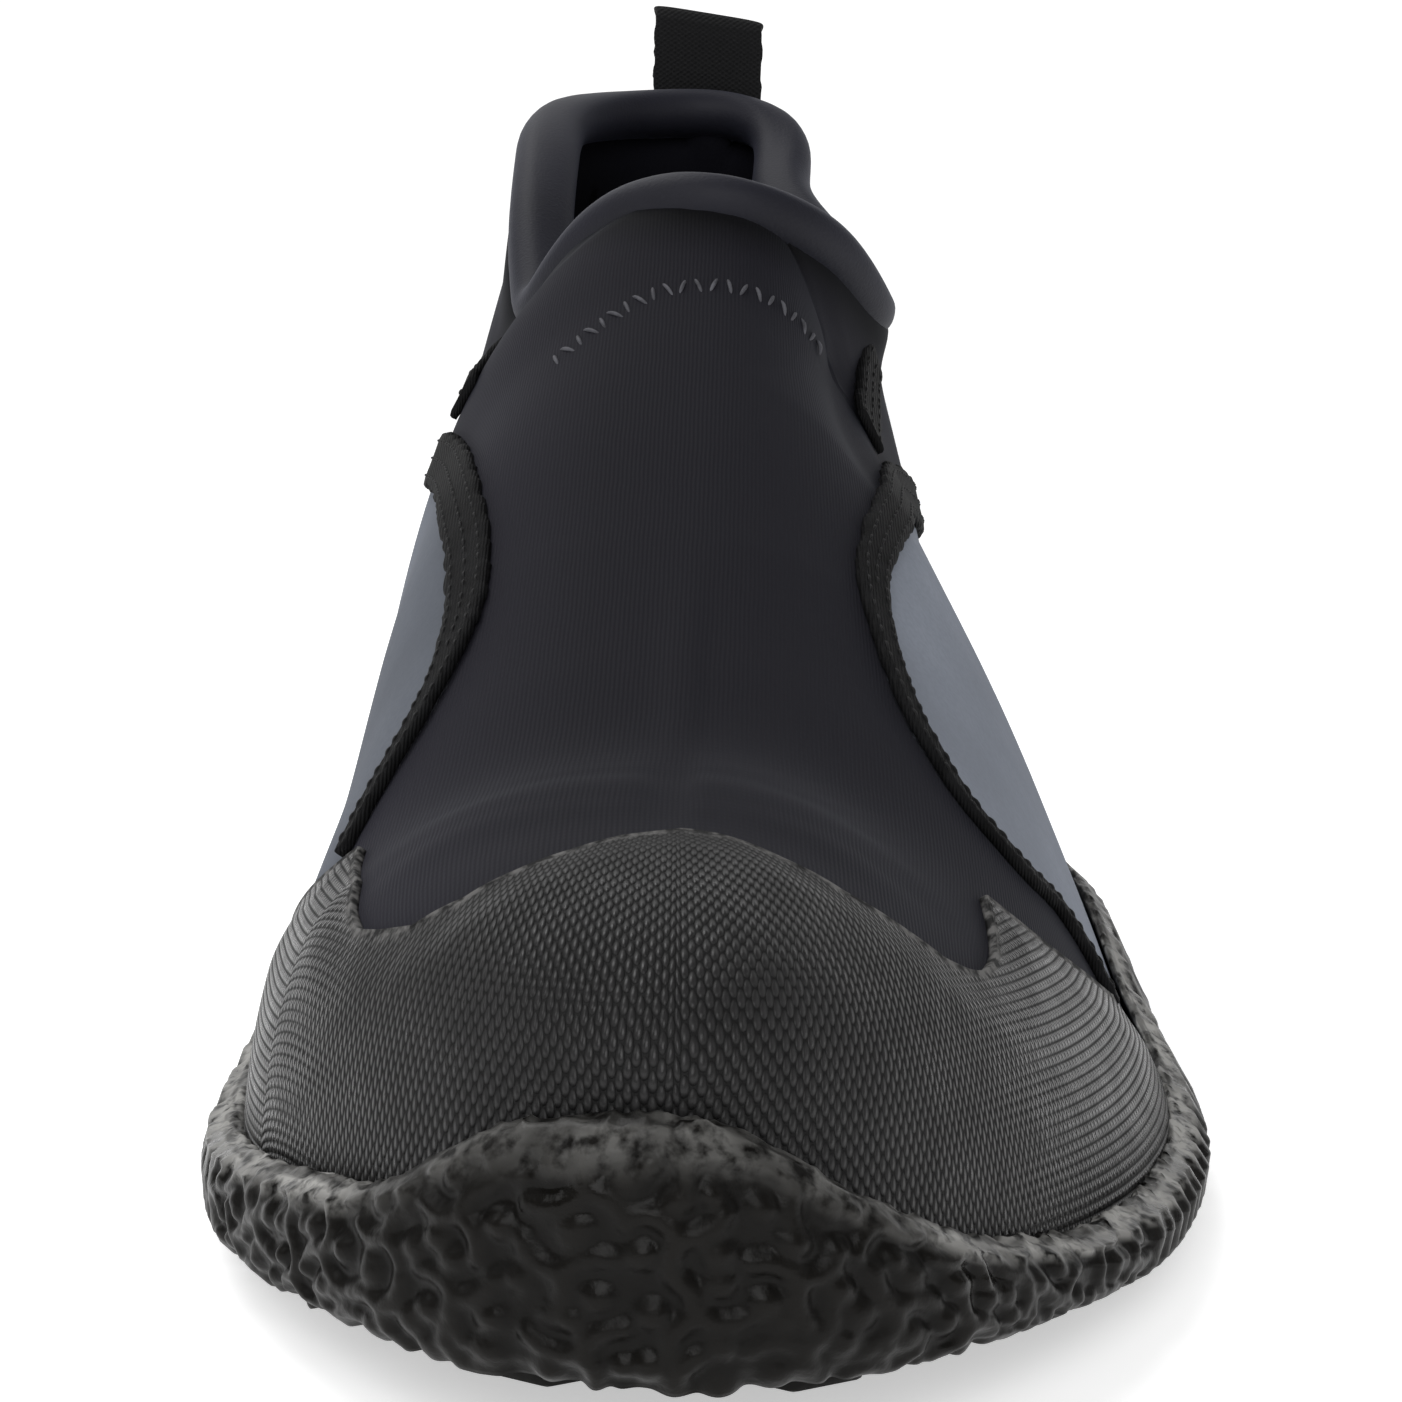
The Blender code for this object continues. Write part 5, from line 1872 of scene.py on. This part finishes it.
# Name, place, aim, size and power of each light
AREA_LIGHTS = (
    ("left_light", (-0.68, -0.3, 0.62), (0.0, -0.05, 0.05), (0.3, 0.5), 1.6),
    ("right_light", (0.8, -0.05, 0.45), (0.0, -0.02, 0.05), (0.3, 0.6), 0.4),
    ("front_softbox", (0.0, -1.4, 0.95), (0.0, -0.1, 0.05), (1.2, 1.0), 16.0),
)


def area_light(name, at, aim, size, power):
    bpy.ops.object.light_add(type="AREA", location=at)
    lamp = bpy.context.object
    lamp.name = name
    lamp.data.shape = "RECTANGLE"
    lamp.data.size, lamp.data.size_y = size
    lamp.data.energy = power
    lamp.rotation_euler = (Vector(aim) - Vector(at)).to_track_quat("-Z", "Y").to_euler()


def studio_sky(tree):
    """A white backdrop behind the boot, paler sides and a dim front."""
    sky = tree.nodes["Background"]
    way = tree.nodes.new("ShaderNodeTexCoord")
    parts = tree.nodes.new("ShaderNodeSeparateXYZ")
    tree.links.new(way.outputs["Generated"], parts.inputs[0])
    aside = tree.nodes.new("ShaderNodeMath")
    aside.operation = "ABSOLUTE"
    tree.links.new(parts.outputs["X"], aside.inputs[0])
    total = None
    bands = (
        (parts.outputs["Y"], (0.5, 0.85), SKY_BACK),
        (aside.outputs[0], (0.5, 0.95), SKY_SIDES),
    )
    for source, edges, power in bands:
        band = tree.nodes.new("ShaderNodeMapRange")
        band.interpolation_type = "SMOOTHSTEP"
        tree.links.new(source, band.inputs["Value"])
        band.inputs["From Min"].default_value, band.inputs["From Max"].default_value = edges
        band.inputs["To Max"].default_value = power
        adding = tree.nodes.new("ShaderNodeMath")
        tree.links.new(band.outputs[0], adding.inputs[0])
        if total:
            tree.links.new(total, adding.inputs[1])
        else:
            adding.inputs[1].default_value = SKY_BASE
        total = adding.outputs[0]
    tree.links.new(total, sky.inputs["Strength"])
    sky.inputs["Color"].default_value = (1.0, 1.0, 1.0, 1.0)


def photo_camera():
    """The photograph's viewpoint: pitched down, turned a little and rolled."""
    forward = np.array(
        (
            math.sin(CAMERA_YAW) * math.cos(CAMERA_PITCH),
            math.cos(CAMERA_YAW) * math.cos(CAMERA_PITCH),
            -math.sin(CAMERA_PITCH),
        )
    )
    level = np.array((math.cos(CAMERA_YAW), -math.sin(CAMERA_YAW), 0.0))
    upright = np.cross(level, forward)
    right = math.cos(CAMERA_ROLL) * level + math.sin(CAMERA_ROLL) * upright
    up = -math.sin(CAMERA_ROLL) * level + math.cos(CAMERA_ROLL) * upright
    turned = np.stack((right, up, -forward), axis=1)
    bpy.ops.object.camera_add()
    camera = bpy.context.object
    camera.name = "photo_camera"
    camera.matrix_world = Matrix.Translation(Vector(on_stage(CAMERA_AT))) @ Matrix(turned.tolist()).to_4x4()
    camera.data.sensor_width = SENSOR
    camera.data.lens = SENSOR * FOCAL_PIXELS / PHOTO_SIDE
    camera.data.clip_start = 0.01
    bpy.context.scene.camera = camera


class BOOT_OT_stage(bpy.types.Operator):
    """Set the pale floor, the soft light and the camera"""

    bl_idname = "reef_boot.stage"
    bl_label = "Stage"

    def execute(self, context):
        deselect_all()
        bpy.ops.mesh.primitive_plane_add(size=6.0)
        floor = bpy.context.object
        floor.name = "floor"
        pale = Finish("pale_floor", (0.93, 0.93, 0.93), 0.9, Emission_Color=(1.0, 1.0, 1.0, 1.0))
        pale.set("Emission Strength", 0.5)
        floor.data.materials.append(pale.material)
        world = bpy.data.worlds.new("studio")
        context.scene.world = world
        world.use_nodes = True
        studio_sky(world.node_tree)
        bpy.ops.object.light_add(type="SUN", rotation=SUN_TILT)
        sun = context.object
        sun.name = "soft_sun"
        sun.data.energy = SUN_POWER
        sun.data.angle = SUN_SPREAD
        for light in AREA_LIGHTS:
            area_light(*light)
        photo_camera()
        context.scene.view_settings.view_transform = "Standard"
        return {"FINISHED"}


class BOOT_PT_panel(bpy.types.Panel):
    """Sizes, colours and pieces of the boot"""

    bl_idname = "BOOT_PT_panel"
    bl_label = "Reef Boot"
    bl_space_type = "VIEW_3D"
    bl_region_type = "UI"
    bl_category = "Reef Boot"

    def draw(self, context):
        layout = self.layout
        for group in (context.scene.reef_boot_sizes, context.scene.reef_boot_colors):
            for name in group.__annotations__:
                layout.prop(group, name)
        for operator in OPERATORS:
            layout.operator(operator.bl_idname)


OPERATORS = (
    BOOT_OT_upper,
    BOOT_OT_outsole,
    BOOT_OT_toe_cap,
    BOOT_OT_collar,
    BOOT_OT_tapes,
    BOOT_OT_pull_loop,
    BOOT_OT_insole,
    BOOT_OT_stage,
)
CLASSES = (BootSizes, BootColors, *OPERATORS, BOOT_PT_panel)


def register():
    for cls in CLASSES:
        bpy.utils.register_class(cls)
    bpy.types.Scene.reef_boot_sizes = bpy.props.PointerProperty(type=BootSizes)
    bpy.types.Scene.reef_boot_colors = bpy.props.PointerProperty(type=BootColors)


def unregister():
    del bpy.types.Scene.reef_boot_sizes
    del bpy.types.Scene.reef_boot_colors
    for cls in reversed(CLASSES):
        bpy.utils.unregister_class(cls)


def main():
    register()
    bpy.ops.reef_boot.upper()
    bpy.ops.reef_boot.outsole()
    bpy.ops.reef_boot.toe_cap()
    bpy.ops.reef_boot.collar()
    bpy.ops.reef_boot.tapes()
    bpy.ops.reef_boot.pull_loop()
    bpy.ops.reef_boot.insole()
    bpy.ops.reef_boot.stage()


if __name__ == "__main__":
    main()
